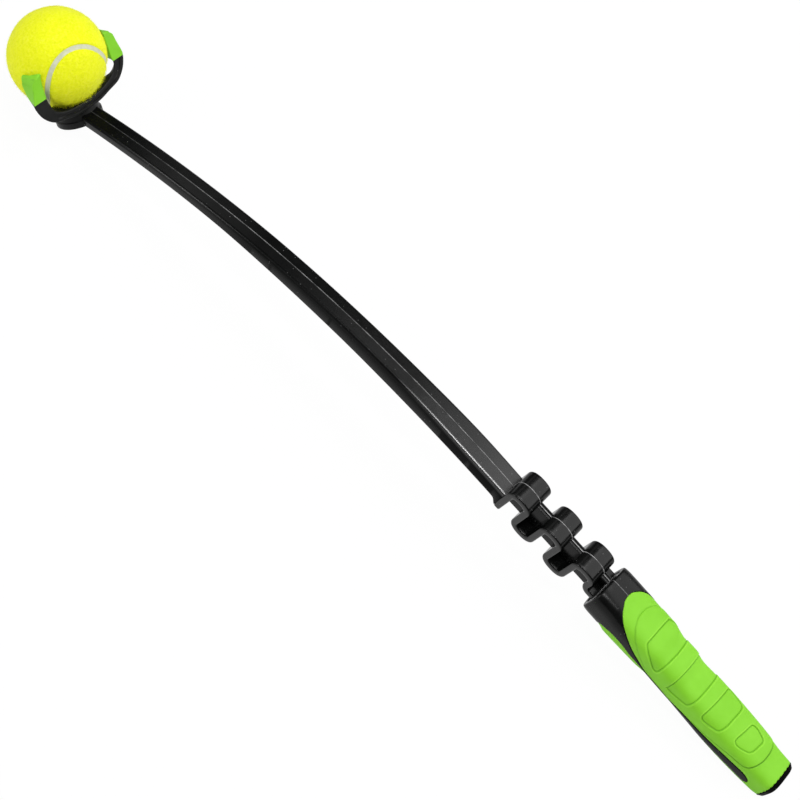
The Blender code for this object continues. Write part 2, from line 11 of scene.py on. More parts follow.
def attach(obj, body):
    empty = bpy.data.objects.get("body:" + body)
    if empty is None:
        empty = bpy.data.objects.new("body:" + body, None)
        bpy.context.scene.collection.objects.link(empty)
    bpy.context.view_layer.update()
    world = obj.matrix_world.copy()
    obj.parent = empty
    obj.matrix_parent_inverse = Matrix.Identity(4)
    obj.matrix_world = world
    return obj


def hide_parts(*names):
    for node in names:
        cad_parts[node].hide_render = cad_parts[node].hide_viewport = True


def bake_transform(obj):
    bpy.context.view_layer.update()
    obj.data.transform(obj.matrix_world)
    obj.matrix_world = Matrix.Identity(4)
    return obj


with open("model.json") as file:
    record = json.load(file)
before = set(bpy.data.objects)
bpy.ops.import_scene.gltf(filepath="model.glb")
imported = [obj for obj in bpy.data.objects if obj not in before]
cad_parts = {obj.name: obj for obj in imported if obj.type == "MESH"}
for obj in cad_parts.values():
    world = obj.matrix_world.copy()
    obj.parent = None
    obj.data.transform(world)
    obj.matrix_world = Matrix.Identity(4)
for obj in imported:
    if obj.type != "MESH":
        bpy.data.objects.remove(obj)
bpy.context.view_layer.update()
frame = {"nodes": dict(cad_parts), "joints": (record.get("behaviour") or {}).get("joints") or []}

# Sizes shared with the solids, in metres
BALL_RADIUS = 0.03175
SEAT_RADIUS = 0.0321
SEAM_WIDTH = 0.0025
SEAM_SWING = 0.16
BALL_TURN = tuple(math.radians(angle) for angle in (12.3, -22.8, 117))
CLAW_TILT = math.radians(42)
PRONG_ROOT_SHARE = -0.957
TIP_STARTS = {"left": -0.405 * SEAT_RADIUS, "right": -0.525 * SEAT_RADIUS}

ARM_RUN = 0.358
ARM_DROP = 0.0702
ARM_NECK_RISE = math.radians(2.3)
ARM_CLAW_FALL = math.radians(24)
ARM_HALF_WIDTH = 0.0099
ARM_THICKNESS = 0.0124
# Along the arm: share of its run, of its width and of its thickness
ARM_SHARES = (
    (0.000, 1.00, 0.94),
    (0.012, 1.00, 0.89),
    (0.080, 1.01, 0.90),
    (0.250, 0.91, 1.02),
    (0.420, 0.86, 0.98),
    (0.560, 0.85, 0.86),
    (0.700, 0.84, 0.68),
    (0.850, 0.82, 0.61),
    (1.000, 0.77, 0.60),
)

NECK_WIDTH = 0.0236
NECK_WALL = 0.0046
NECK_HALF_PITCH = 0.0143
NECK_LOBES = 5
NECK_TOP = 0.0129
NECK_BOTTOM = 0.0153
NECK_RISE = 0.0043
NECK_FOOT = 0.0118
NECK_HOOK_DEPTH = 0.004
NECK_HOOK_RADIUS = 0.004
NECK_TAIL = 0.0036
NECK_LENGTH = NECK_WALL / 2 + NECK_LOBES * NECK_HALF_PITCH + NECK_HOOK_RADIUS + NECK_TAIL
NECK_PIVOT = Vector((NECK_LENGTH / 2, 0, 0))
WEB_THICKNESS = 0.0053
WEB_TOP = 0.008
WEB_BOTTOM = 0.011

HANDLE_START = NECK_LENGTH + 0.0003
HANDLE_LENGTH = 0.1608
HANDLE_HALF_WIDTH = 0.017
HANDLE_HALF_HEIGHT = 0.0133
HANDLE_DROP = 0.0067
HANDLE_EXPONENT = 3.5
# Along the handle: share of its length, of its section's size and of its middle's drop
HANDLE_SHARES = (
    (0.000, 0.940, 0.14),
    (0.012, 0.975, 0.14),
    (0.035, 0.992, 0.14),
    (0.090, 0.995, 0.16),
    (0.130, 1.020, 0.30),
    (0.235, 1.005, 0.30),
    (0.300, 0.990, 0.29),
    (0.360, 0.922, 0.38),
    (0.420, 0.928, 0.40),
    (0.482, 0.895, 0.60),
    (0.545, 0.915, 0.61),
    (0.607, 0.929, 0.67),
    (0.670, 0.944, 0.76),
    (0.730, 0.939, 0.82),
    (0.795, 0.924, 0.86),
    (0.855, 0.900, 0.90),
    (0.918, 0.857, 0.97),
    (0.955, 0.839, 0.94),
    (0.982, 0.810, 0.86),
    (1.000, 0.720, 0.84),
)

# Half of the claw's outline, in shares of the seat radius: rim inner point, rim outer point,
# then in X the rim and the front edge, then the front edge's gap to the seat and its wall
BAND_SHARES = (
    (0.000, -0.915, 0.000, -1.110, 0.461, -0.31, 0.000, 0.13),
    (0.290, -0.900, 0.293, -1.090, 0.461, -0.31, 0.000, 0.13),
    (0.530, -0.860, 0.600, -1.022, 0.461, -0.10, 0.000, 0.13),
    (0.716, -0.791, 0.866, -0.957, 0.461, 0.27, 0.090, 0.20),
    (0.815, -0.728, 1.020, -0.850, 0.461, 0.33, 0.175, 0.18),
    (0.878, -0.645, 1.137, -0.704, 0.461, 0.33, 0.225, 0.13),
    (0.904, -0.542, 1.202, -0.542, 0.461, 0.33, 0.250, 0.11),
    (0.897, -0.442, 1.212, -0.461, 0.461, 0.16, 0.100, 0.13),
    (0.880, -0.156, 1.140, -0.187, 0.490, 0.12, 0.000, 0.10),
    (0.865, 0.016, 1.093, 0.000, 0.510, 0.12, 0.000, 0.08),
    (0.845, 0.115, 1.020, 0.070, 0.530, 0.12, 0.000, 0.05),
)
PRONG_ROOT_STATION = 3
TIP_STATION = len(BAND_SHARES) - 1

MM = 0.001

# Outlines on the grip's surface in millimetres: along the handle from the collar's front,
# then round it from the middle of its top. Each is one half, mirrored to the other side.
WINDOW_OUTLINE = (
    (13.4, 0), (14.0, 4), (16.3, 7.9), (18.2, 10.6), (20.8, 13.2), (24.4, 15.9), (29.5, 18.8),
    (34, 21.4), (38.5, 24.0), (42.6, 25.8), (46.6, 27.3), (51.5, 29.0), (56, 30.0),
    (62, 30.6), (72, 30.9), (80, 30.4), (88.4, 28.9), (103.8, 27.3), (118.3, 25.2),
    (132.6, 22.8), (139.7, 21.6), (143.4, 21.6), (146.4, 22.8), (147.5, 24.7), (146.4, 27.0),
    (143.2, 28.5), (132, 29.8), (118, 31.2), (104, 32.2), (88, 32.8), (72, 32.6), (60, 32.0),
    (54, 31.0), (46.9, 30.4), (40.5, 29.9), (32.9, 28.6), (25, 28.6), (20, 29.6), (16, 31.6),
    (14.2, 34), (13.6, 38), (13.4, 60),
)
PANEL_OUTLINE = (
    (26.9, 0), (27.3, 4.5), (29.9, 10.3), (34.4, 15.1), (39.7, 18.7), (45, 22.3), (50, 25.2),
    (56, 27.2), (63, 28.3), (74, 28.8), (86, 28.0), (95, 26.8), (104, 25.3), (113, 23.1),
    (126, 19.3), (136, 17.1), (139.8, 14.4), (142.2, 9), (143.4, 3.5), (143.5, 0),
)
PAD_OUTLINES = (
    ((41.3, 0), (41.6, 10.6), (42.4, 12.8), (46.2, 15.8), (51.5, 18.3), (56.2, 20.5),
     (58.4, 20.7), (59.5, 18.8), (59.8, 12.0), (60.2, 0)),
    ((71.2, 0), (70.7, 21.2), (71.6, 22.9), (79.0, 21.2), (85.4, 19.6), (87.2, 17.6),
     (88.1, 10.8), (88.3, 0)),
    ((97.8, 0), (97.0, 12.6), (97.2, 15.4), (98.6, 17.0), (101.4, 17.2), (106.5, 15.9),
     (110.0, 14.6), (111.6, 12.0), (112.4, 7.2), (112.7, 0)),
    ((122.8, 0), (121.7, 8.2), (122.4, 10.4), (125.0, 11.3), (129.2, 10.2), (133.0, 8.3),
     (134.8, 5.2), (135.6, 0)),
)

# Camera: where the photograph was taken from, seen from the handle's own frame
PHOTO_SIDE = 800
FOCAL_PIXELS = 1910.5
SENSOR_MM = 36
CAMERA_DISTANCE = 1.16845
CAMERA_LEAN = math.radians(32.6284)
CAMERA_SWING = math.radians(0.6608)
CAMERA_ROLL = math.radians(47.016)
CAMERA_SHIFT = (-0.0687258, 0.0520884)
CAMERA_TARGET_X = -0.00105

joints = {joint["name"]: joint for joint in frame["joints"]}


def frames():
    """Handle frame and claw frame in the row's frame, read from the joints."""
    release = Vector(joints["ball_release"]["axis"])
    claw_angle = math.atan2(release.x, release.z)
    tilt = claw_angle - (CLAW_TILT - math.pi / 2)
    pivot = Vector(joints["neck_flex"]["pos_m"])
    handle = (Matrix.Translation(pivot) @ Matrix.Rotation(tilt, 4, "Y")
              @ Matrix.Translation(-NECK_PIVOT))
    left = Vector(joints["prong_left_spread"]["pos_m"])
    right = Vector(joints["prong_right_spread"]["pos_m"])
    centre = (left + right) / 2 - release * PRONG_ROOT_SHARE * SEAT_RADIUS
    claw = Matrix.Translation(centre) @ Matrix.Rotation(claw_angle, 4, "Y")
    return handle, claw


HANDLE_FRAME, CLAW_FRAME = frames()


# Materials

# Half width of the painted highlight along the parting line
LINE_HALF_WIDTH = 0.00034
PLAIN_GLOSS = 0.15
POLISH_ROUGHNESS = 0.30
POLISH_IOR = 2.3
DUST_TONE = (0.25, 0.25, 0.25)
# Painted shade for the grip's creases, and painted highlight for the lips beside its pads
CREASE_SHADE_TONE = (0.055, 0.21, 0.003)
LIP_HIGHLIGHT_TONE = (0.36, 0.80, 0.07)


def new_material(name):
    """Return a material with its node tree, shader and a coordinate node."""
    made = bpy.data.materials.new(name)
    made.use_nodes = True
    tree = made.node_tree
    shader = tree.nodes["Principled BSDF"]
    coordinates = tree.nodes.new("ShaderNodeTexCoord")
    return made, tree, shader, coordinates.outputs["Object"]


def fill(tree, node, inputs):
    """Fill a node's inputs, each with a value or with what another node gives."""
    for name, value in inputs.items():
        if isinstance(value, bpy.types.NodeSocket):
            tree.links.new(value, node.inputs[name])
        else:
            node.inputs[name].default_value = value
    return node


def add_node(tree, kind, inputs):
    return fill(tree, tree.nodes.new("ShaderNode" + kind), inputs)


def noise_node(tree, place, scale, detail=3.0, roughness=0.55):
    return add_node(tree, "TexNoise", {
        "Vector": place, "Scale": scale, "Detail": detail, "Roughness": roughness,
    }).outputs["Fac"]


def ramp(tree, value, stops):
    """Map a value to colours given as (position, colour)."""
    node = tree.nodes.new("ShaderNodeValToRGB")
    while len(node.color_ramp.elements) < len(stops):
        node.color_ramp.elements.new(0.5)
    for element, (position, colour) in zip(node.color_ramp.elements, stops):
        element.position = position
        element.color = (*colour, 1)
    return fill(tree, node, {"Fac": value}).outputs["Color"]


def map_value(tree, value, low, high, start=0.3, end=0.7):
    return add_node(tree, "MapRange", {
        "Value": value, "From Min": start, "From Max": end, "To Min": low, "To Max": high,
    }).outputs["Result"]


def mix_colour(tree, factor, first, second):
    node = tree.nodes.new("ShaderNodeMix")
    node.data_type = "RGBA"
    first, second = ((*colour, 1) if isinstance(colour, tuple) else colour
                     for colour in (first, second))
    return fill(tree, node, {"Factor": factor, "A": first, "B": second}).outputs["Result"]


def add_bump(tree, shader, height, distance, strength, below=None):
    """Raise a surface by a height, on top of the bump below it."""
    node = add_node(tree, "Bump", {"Height": height, "Distance": distance, "Strength": strength})
    if below is not None:
        fill(tree, node, {"Normal": below})
    fill(tree, shader, {"Normal": node.outputs["Normal"]})
    return node.outputs["Normal"]


def math_node(tree, operation, first, second=None):
    """Combine two values, of which the second may be a number."""
    node = tree.nodes.new("ShaderNodeMath")
    node.operation = operation
    tree.links.new(first, node.inputs[0])
    if isinstance(second, float):
        node.inputs[1].default_value = second
    elif second is not None:
        tree.links.new(second, node.inputs[1])
    return node.outputs[0]


def mesh_value(tree, layer):
    """Read a value that the piece's mesh carries at its points."""
    node = tree.nodes.new("ShaderNodeAttribute")
    node.attribute_name = layer
    return node.outputs["Fac"]


def black_plastic(name, gloss, rough, line=0.0, fade=None, depth=1.0):
    """Moulded black plastic: a faint grain, soft flow marks and a few dust specks.

    A piece with a line tone also has a pale line painted along its mould's parting line, a painted
    highlight on the line's raised rib, broken up in places.
    A piece without a gloss of its own takes it from its mesh, with the polish of worn edges.
    The fade is that of the painted line highlight, and depth is how pale the black is.
    """
    made, tree, shader, place = new_material(name)
    flow = noise_node(tree, place, 60, 4)
    tone = ramp(tree, flow, [
        (0.30, (0.0018 * depth, 0.0019 * depth, 0.0019 * depth)),
        (0.70, (0.0036 * depth, 0.0038 * depth, 0.0037 * depth)),
    ])
    dust = add_node(tree, "TexVoronoi", {"Vector": place, "Scale": 210})
    speck = map_value(tree, dust.outputs["Distance"], 0.35, 0.0, 0.05, 0.075)
    tone = mix_colour(tree, speck, tone, DUST_TONE)
    # Painted highlight: a pale line along the mould's parting line
    if line:
        tone = mix_colour(tree, parting_line_highlight(tree, place, fade), tone, (line, line, line))
    wear = noise_node(tree, place, 240, 5, 0.65)
    # Where a renderer doesn't read the mesh's gloss, it takes the plain one
    fill(tree, shader, {
        "Base Color": tone, "Roughness": map_value(tree, wear, *rough),
        "Specular IOR Level": PLAIN_GLOSS if gloss is None else gloss,
    })
    if gloss is None:
        fill(tree, shader, {
            "Specular IOR Level": mesh_value(tree, "gloss"),
            "Coat Weight": mesh_value(tree, "polish"),
            "Coat Roughness": POLISH_ROUGHNESS, "Coat IOR": POLISH_IOR,
        })
    grain = noise_node(tree, place, 2600, 2)
    under = add_bump(tree, shader, grain, 0.00003, 0.35)
    ripple = noise_node(tree, place, 130, 2)
    add_bump(tree, shader, ripple, 0.00016, 0.35, under)
    return made


def parting_line_highlight(tree, place, fade):
    """Mask of the painted highlight along the mould's parting line in the launcher's middle plane,
    broken up in places.

    A fade gives the X where the painted highlight is full, the X where it is faint, and how faint.
    """
    split = add_node(tree, "SeparateXYZ", {"Vector": place})
    away = math_node(tree, "ABSOLUTE", split.outputs["Y"])
    line = map_value(tree, away, 1.0, 0.0, LINE_HALF_WIDTH * 0.6, LINE_HALF_WIDTH)
    worn = map_value(tree, noise_node(tree, place, 110, 5, 0.7), 0.20, 1.0, 0.38, 0.58)
    mask = math_node(tree, "MULTIPLY", line, worn)
    if fade is None:
        return mask
    full_x, faint_x, faint = fade
    ends = map_value(tree, split.outputs["X"], 1.0, faint, full_x, faint_x)
    return math_node(tree, "MULTIPLY", mask, ends)


def green_rubber():
    """Soft green overmould: matte with a fine bead grain and slightly deeper patches."""
    made, tree, shader, place = new_material("green_rubber")
    cloud = noise_node(tree, place, 45, 4)
    tone = ramp(tree, cloud, [(0.25, (0.195, 0.545, 0.020)), (0.75, (0.230, 0.610, 0.032))])
    rub = noise_node(tree, place, 420, 5, 0.7)
    soil = map_value(tree, rub, 0.0, 0.10, 0.60, 0.80)
    tone = mix_colour(tree, soil, tone, (0.165, 0.45, 0.02))
    # Painted shade darkens the creases, and a painted highlight pales the lips beside the pads
    crease = mesh_value(tree, "crease")
    dark = map_value(tree, crease, 0.0, 1.0, 0.0, 1.0)
    tone = mix_colour(tree, dark, tone, CREASE_SHADE_TONE)
    pale = map_value(tree, crease, 1.0, 0.0, -1.0, 0.0)
    tone = mix_colour(tree, pale, tone, LIP_HIGHLIGHT_TONE)
    fill(tree, shader, {
        "Base Color": tone, "Roughness": map_value(tree, rub, 0.50, 0.64),
        "Specular IOR Level": 0.18,
    })
    grain = noise_node(tree, place, 2200, 2)
    under = add_bump(tree, shader, grain, 0.00004, 0.4)
    swell = noise_node(tree, place, 90, 2)
    add_bump(tree, shader, swell, 0.0002, 0.3, under)
    return made


def yellow_felt():
    """Napped felt: clumps of fibres in two sizes, paler where the nap stands up."""
    made, tree, shader, place = new_material("yellow_felt")
    clump = noise_node(tree, place, 640, 5, 0.66)
    tone = ramp(tree, clump, [
        (0.28, (0.73, 0.79, 0.002)), (0.48, (0.87, 0.91, 0.005)), (0.72, (0.94, 0.96, 0.070)),
    ])
    patch = map_value(tree, noise_node(tree, place, 110, 3), 0.0, 0.5)
    fill(tree, shader, {
        "Base Color": mix_colour(tree, patch, tone, (0.90, 0.94, 0.010)),
        "Roughness": 0.60, "Specular IOR Level": 0.12, "Sheen Weight": 0.12,
        "Sheen Roughness": 0.5, "Sheen Tint": (0.95, 1.0, 0.30, 1),
    })
    fibre = noise_node(tree, place, 2200, 3, 0.7)
    under = add_bump(tree, shader, fibre, 0.0003, 0.6)
    add_bump(tree, shader, clump, 0.0013, 0.7, under)
    return made


def seam_rubber():
    """Pale rubber of the ball's seam, with faint dirt."""
    made, tree, shader, place = new_material("seam_rubber")
    dirt = noise_node(tree, place, 300, 4, 0.6)
    tone = ramp(tree, dirt, [(0.30, (0.48, 0.50, 0.34)), (0.70, (0.60, 0.62, 0.46))])
    fill(tree, shader, {"Base Color": tone, "Roughness": map_value(tree, dirt, 0.55, 0.75)})
    add_bump(tree, shader, noise_node(tree, place, 1400, 3), 0.0001, 0.5)
    return made


def core_rubber():
    """Dark rubber of the ball's inner cups."""
    made, tree, shader, place = new_material("core_rubber")
    cloud = noise_node(tree, place, 120, 3)
    tone = ramp(tree, cloud, [(0.3, (0.06, 0.06, 0.055)), (0.7, (0.10, 0.10, 0.09))])
    fill(tree, shader, {"Base Color": tone, "Roughness": 0.8})
    add_bump(tree, shader, noise_node(tree, place, 900, 3), 0.0001, 0.5)
    return made


BLACK = black_plastic("black_plastic", 0.15, (0.34, 0.46), depth=2.6)
# The pale lines are painted highlight along the mould lines; the arm's is full near the neck and
# faint towards the claw
ARM_BLACK = black_plastic("black_plastic_arm", None, (0.22, 0.32), 0.24, (-0.12, -0.23, 0.25))
NECK_BLACK = black_plastic("black_plastic_neck", None, (0.15, 0.24), 0.34)
HANDLE_BLACK = black_plastic("black_plastic_handle", None, (0.22, 0.32), 0.25, (0.192, 0.200, 0))
GREEN = green_rubber()
FELT = yellow_felt()
SEAM = seam_rubber()
CORE = core_rubber()


# Mesh helpers

MERGE_DISTANCE = 1e-6


def add_object(name, data):
    made = bpy.data.objects.new(name, data)
    bpy.context.scene.collection.objects.link(made)
    return made


def add_piece(name, mesh, place, body, look, nodes, sharp=38):
    """Put a bmesh into the scene as a piece that rides on a body and stands for nodes."""
    mesh.transform(place)
    bmesh.ops.recalc_face_normals(mesh, faces=mesh.faces)
    data = bpy.data.meshes.new(name)
    mesh.to_mesh(data)
    mesh.free()
    data.shade_smooth()
    data.set_sharp_from_angle(angle=math.radians(sharp))
    data.materials.append(look)
    made = add_object(name, data)
    if body:
        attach(made, body)
    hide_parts(*nodes)
    return made


def skin(mesh, lower, upper):
    """Join two closed rings of points with faces."""
    for i in range(len(lower)):
        j = (i + 1) % len(lower)
        mesh.faces.new((lower[i], lower[j], upper[j], upper[i]))


def loft(rings, mesh=None):
    """Skin closed rings of equal length and cap both ends."""
    mesh = mesh or bmesh.new()
    rows = [[mesh.verts.new(point) for point in ring] for ring in rings]
    for lower, upper in zip(rows, rows[1:]):
        skin(mesh, lower, upper)
    mesh.faces.new(reversed(rows[0]))
    mesh.faces.new(rows[-1])
    return mesh


def grid_mesh(points, keep=None, shade=None):
    """Mesh over a grid of points, closed round its second direction, with painted crease shade and
    lip highlight at its points.
    """
    rows, columns = points.shape[:2]
    mesh = bmesh.new()
    crease = mesh.verts.layers.float.new("crease")
    verts = {}

    def corner(i, j):
        j = j % columns
        if (i, j) not in verts:
            verts[i, j] = mesh.verts.new(points[i, j])
            verts[i, j][crease] = 0 if shade is None else shade[i, j]
        return verts[i, j]

    for i in range(rows - 1):
        for j in range(columns):
            if keep is None or keep[i, j]:
                mesh.faces.new((corner(i, j), corner(i, j + 1), corner(i + 1, j + 1),
                                corner(i + 1, j)))
    return mesh


def smooth_curve(xs, ys, at):
    """Smooth curve through points that never overshoots them."""
    xs, ys, at = (np.asarray(values, float) for values in (xs, ys, at))
    step = np.diff(xs)
    slope = np.diff(ys) / step
    inner = np.zeros(len(xs))
    same = slope[:-1] * slope[1:] > 0
    first = 2 * step[1:] + step[:-1]
    second = step[1:] + 2 * step[:-1]
    with np.errstate(divide="ignore", invalid="ignore"):
        mean = (first + second) / (first / slope[:-1] + second / slope[1:])
    inner[1:-1] = np.where(same, mean, 0)
    inner[0], inner[-1] = slope[0], slope[-1]
    i = np.clip(np.searchsorted(xs, at, side="right") - 1, 0, len(step) - 1)
    h = step[i]
    t = (at - xs[i]) / h
    return ((1 + 2 * t) * (1 - t) ** 2 * ys[i] + t * (1 - t) ** 2 * h * inner[i]
            + t * t * (3 - 2 * t) * ys[i + 1] + t * t * (t - 1) * h * inner[i + 1])


def smooth_outline(points, steps=6):
    """Pass a smooth curve through an outline's points."""
    fixed = [points[0], *points, points[-1]]
    made = []
    for a, b, c, d in zip(fixed, fixed[1:], fixed[2:], fixed[3:]):
        for k in range(steps):
            t = k / steps
            made.append(tuple(
                0.5 * (2 * q + (r - p) * t + (2 * p - 5 * q + 4 * r - s) * t * t
                       + (3 * q - p - 3 * r + s) * t ** 3)
                for p, q, r, s in zip(a, b, c, d)))
    made.append(points[-1])
    return made


def inside_distance(outline, along, around):
    """Signed distance to a mirrored outline, positive inside it, for arrays of places."""
    loop = [*outline, *((x, -y) for x, y in reversed(outline))]
    best = np.full(along.shape, 1e9)
    crossings = np.zeros(along.shape, int)
    for (x0, y0), (x1, y1) in zip(loop, loop[1:] + loop[:1]):
        dx, dy = x1 - x0, y1 - y0
        length = dx * dx + dy * dy
        if length < 1e-12:
            continue
        t = np.clip(((along - x0) * dx + (around - y0) * dy) / length, 0, 1)
        best = np.minimum(best, np.hypot(along - x0 - t * dx, around - y0 - t * dy))
        hit = (y0 > around) != (y1 > around)
        with np.errstate(divide="ignore", invalid="ignore"):
            cross = x0 + (around - y0) * dx / dy
        crossings += (hit & (along < cross)).astype(int)
    return np.where(crossings % 2 == 1, best, -best)


def round_corner(across, height, radius, steps, start=0.0):
    """Points of a round corner, from its flat top to its upright side."""
    angles = [start + (math.pi / 2 - start) * k / steps for k in range(steps + 1)]
    return [(across - radius * (1 - math.sin(angle)), height - radius * (1 - math.cos(angle)))
            for angle in angles]


def step_up(value, width):
    """Smooth step from 0 to 1 over a width centred on zero."""
    t = np.clip(value / width + 0.5, 0, 1)
    return t * t * (3 - 2 * t)


# Arm

ARM_LIFT = 0.0010
LIFT_START = 0.3
LIFT_REACH = 0.3
ARM_EDGE = 0.0024
ARM_FOOT_EDGE = 0.0012
ARM_CROWN = 0.0002
ARM_LINE_HEIGHT = 0.00022
ARM_LINE_HALF = 0.00030
LIP_DROP = 0.0009
LIP_SPREAD = 0.0018
ARM_FLARE_REACH = 0.0024
ARM_TOP_GLOSS = (
    (0, 0.05, 0.1, 0.17, 0.25, 0.4, 0.6, 0.8, 0.86, 0.94),
    (0.36, 0.29, 0.21, 0.15, 0.08, 0.10, 0.05, 0.24, 0.20, 0.04),
)
ARM_SIDE_GLOSS = ((0, 0.4, 0.62, 0.83, 1.0), (0.02, 0.03, 0.05, 0.20, 0.25))
ARM_FOOT_GLOSS = 0.10
POLISH_GLOSS = 0.7
POLISH_COAT = 0.75
POLISH_END = 0.27
POLISH_FADE = 0.17
ARM_STEPS = 150
ARM_NECK_STEPS = (0.001, 0.002, 0.004, 0.008, 0.010)
EDGE_STEPS = 7


def arm_height(share):
    """Height of the arm's top over the handle's frame, at a share of its run."""
    rise = share * (1 - share) ** 2 * math.tan(ARM_NECK_RISE) * ARM_RUN
    fall = -share ** 2 * (share - 1) * math.tan(ARM_CLAW_FALL) * ARM_RUN
    lift = ARM_LIFT * min(1.0, max(0.0, (share - LIFT_START) / LIFT_REACH))
    return rise + fall + lift - share ** 2 * (3 - 2 * share) * ARM_DROP


def arm_ring(share, width_share, thick_share):
    """Section of the arm: two flats beside the parting line, round edges, flat sides."""
    flare = math.exp(-(share * ARM_RUN / ARM_FLARE_REACH) ** 2)
    half = ARM_HALF_WIDTH * width_share
    foot = half + LIP_SPREAD * flare
    thick = ARM_THICKNESS * thick_share + LIP_DROP * flare
    peak = ARM_LINE_HEIGHT + ARM_CROWN
    side = [(0, peak), (ARM_LINE_HALF * 0.45, peak), (ARM_LINE_HALF, ARM_CROWN)]
    flat = half - ARM_EDGE
    fall = ARM_CROWN / flat
    side += [(flat * part, ARM_CROWN - fall * flat * part) for part in (0.3, 0.6, 0.97)]
    side += round_corner(half, 0, ARM_EDGE, EDGE_STEPS, fall)
    side += [(y, -z) for y, z in reversed(round_corner(foot, thick, ARM_FOOT_EDGE, EDGE_STEPS))]
    side.append((0, -thick))
    ring = [(-y, z) for y, z in side[-2:0:-1]]
    top = arm_height(share)
    x = -ARM_RUN * share
    return [Vector((x, y, top + z)) for y, z in side + ring]


def build_arm():
    shares = sorted({*(i / ARM_STEPS for i in range(ARM_STEPS + 1)), *ARM_NECK_STEPS})
    table = np.array(ARM_SHARES)
    widths = smooth_curve(table[:, 0], table[:, 1], shares)
    thicks = smooth_curve(table[:, 0], table[:, 2], shares)
    mesh = bmesh.new()
    gloss = mesh.verts.layers.float.new("gloss")
    shine = mesh.verts.layers.float.new("polish")
    loft([arm_ring(s, w, t) for s, w, t in zip(shares, widths, thicks)], mesh)
    for vert in mesh.verts:
        share = -vert.co.x / ARM_RUN
        width = ARM_HALF_WIDTH * np.interp(share, table[:, 0], table[:, 1])
        below = arm_height(share) - vert.co.z
        thick = ARM_THICKNESS * np.interp(share, table[:, 0], table[:, 2])
        polish = min(1.0, max(0.0, (POLISH_END - share) / POLISH_FADE))
        vert[gloss] = np.interp(share, *ARM_TOP_GLOSS)
        if below > 0.8 * ARM_EDGE:
            vert[gloss] = np.interp(share, *ARM_SIDE_GLOSS)
            if below > thick - ARM_FOOT_EDGE:
                vert[gloss] += ARM_FOOT_GLOSS
        elif -vert.co.y > width - 0.9 * ARM_EDGE and below < 0.45 * ARM_EDGE:
            vert[gloss] += POLISH_GLOSS * polish
            vert[shine] = POLISH_COAT * polish
    add_piece("arm_shell", mesh, HANDLE_FRAME, "arm", ARM_BLACK, ["arm"])


# Claw

BAND_STEPS = 9
BAND_ROUND = 0.0009
BAND_GROOVE = 0.0008
GROOVE_PROFILE = ((0.10, 0), (0.30, 0), (0.36, 0.7), (0.42, 1), (0.50, 1), (0.58, 1),
                  (0.64, 0.7), (0.70, 0), (0.90, 0))
GROOVE_END_RIGHT = 7.6
GROOVE_END_LEFT = 3.0
GROOVE_FADE = 1.2
HUB_RADIUS = 0.0158
HUB_HEIGHT = 0.0092
HUB_LIP = 0.0009
# The hub's step: how far in from its radius, and how far up from its foot
HUB_STEP = ((0, 0.0042), (0.0004, 0.0046), (0.0009, 0.0047), (0.0010, 0.0052))
HUB_NECK_IN = 0.0012
BASE_INNER = 0.915 * SEAT_RADIUS
BASE_OUTER = 1.110 * SEAT_RADIUS
TIP_SWELL = 0.00012
JOINT_ROUND = 0.0003
TIP_END_SHRINK = 0.0012
TIP_END_LIFT = 0.0009
LEFT_GAP = 0.4
LEFT_PULL = 0.07
LEFT_PULL_STATION = 5.6
LEFT_PULL_REACH = 2.6


def out_of_ball(point):
    """Move a point out of the room that the ball fills and leaves through."""
    flat = math.hypot(point.x, point.y)
    if point.z < 0:
        if point.length < SEAT_RADIUS:
            return point.normalized() * SEAT_RADIUS
    elif flat < SEAT_RADIUS:
        scale = SEAT_RADIUS / flat
        return Vector((point.x * scale, point.y * scale, point.z))
    return point


def band_corners(row, side, station):
    """Corners of the claw's section: rim inner, rim outer, front outer, front inner."""
    inner_y, inner_z, outer_y, outer_z, rim, reach, gap, wall = (v * SEAT_RADIUS for v in row)
    if side < 0:
        gap *= LEFT_GAP
        near = max(0.0, 1 - abs(station - LEFT_PULL_STATION) / LEFT_PULL_REACH)
        inner_y *= 1 - LEFT_PULL * near
    across = math.sqrt(SEAT_RADIUS ** 2 - reach ** 2) + gap
    if inner_z < 0:
        angle = math.atan2(inner_y, -inner_z)
        inside = (across * math.sin(angle), -across * math.cos(angle))
        outside = ((across + wall) * math.sin(angle), -(across + wall) * math.cos(angle))
    else:
        inside = (across, inner_z)
        outside = (across + wall, inner_z - wall)
    return [
        Vector((rim, side * inner_y, inner_z)),
        Vector((rim, side * outer_y, outer_z)),
        Vector((reach, side * outside[0], outside[1])),
        Vector((reach, side * inside[0], inside[1])),
    ]


def band_loop(corners, groove, swell=0.0):
    """Closed section with round corners; its rim face has a shallow groove between lips."""
    middle = sum(corners, Vector()) / 4
    if swell:
        corners = [p + (p - middle).normalized() * swell for p in corners]
    loop = []
    for k in range(4):
        before, here, after = corners[k - 1], corners[k], corners[(k + 1) % 4]
        cut = min(BAND_ROUND, (before - here).length * 0.4, (after - here).length * 0.4)
        first = here + (before - here).normalized() * cut
        last = here + (after - here).normalized() * cut
        for i in range(5):
            t = i / 4
            loop.append(first.lerp(here, t).lerp(here.lerp(last, t), t))
        other = after + (here - after).normalized() * min(
            BAND_ROUND, (after - here).length * 0.4)
        if k == 0:
            for t, depth in GROOVE_PROFILE:
                point = last.lerp(other, t)
                point.x -= groove * depth
                loop.append(point)
        else:
            loop += [last.lerp(other, i / 9) for i in range(1, 9)]
    return [out_of_ball(point) for point in loop]


def band_rows(first, last):
    """Smoothly spaced stations of the claw between two stations of the table."""
    table = np.array(BAND_SHARES)
    stations = np.arange(len(table))
    at = np.linspace(first, last, (last - first) * BAND_STEPS + 1)
    columns = [smooth_curve(stations, table[:, k], at) for k in range(table.shape[1])]
    return list(zip(at, zip(*columns)))


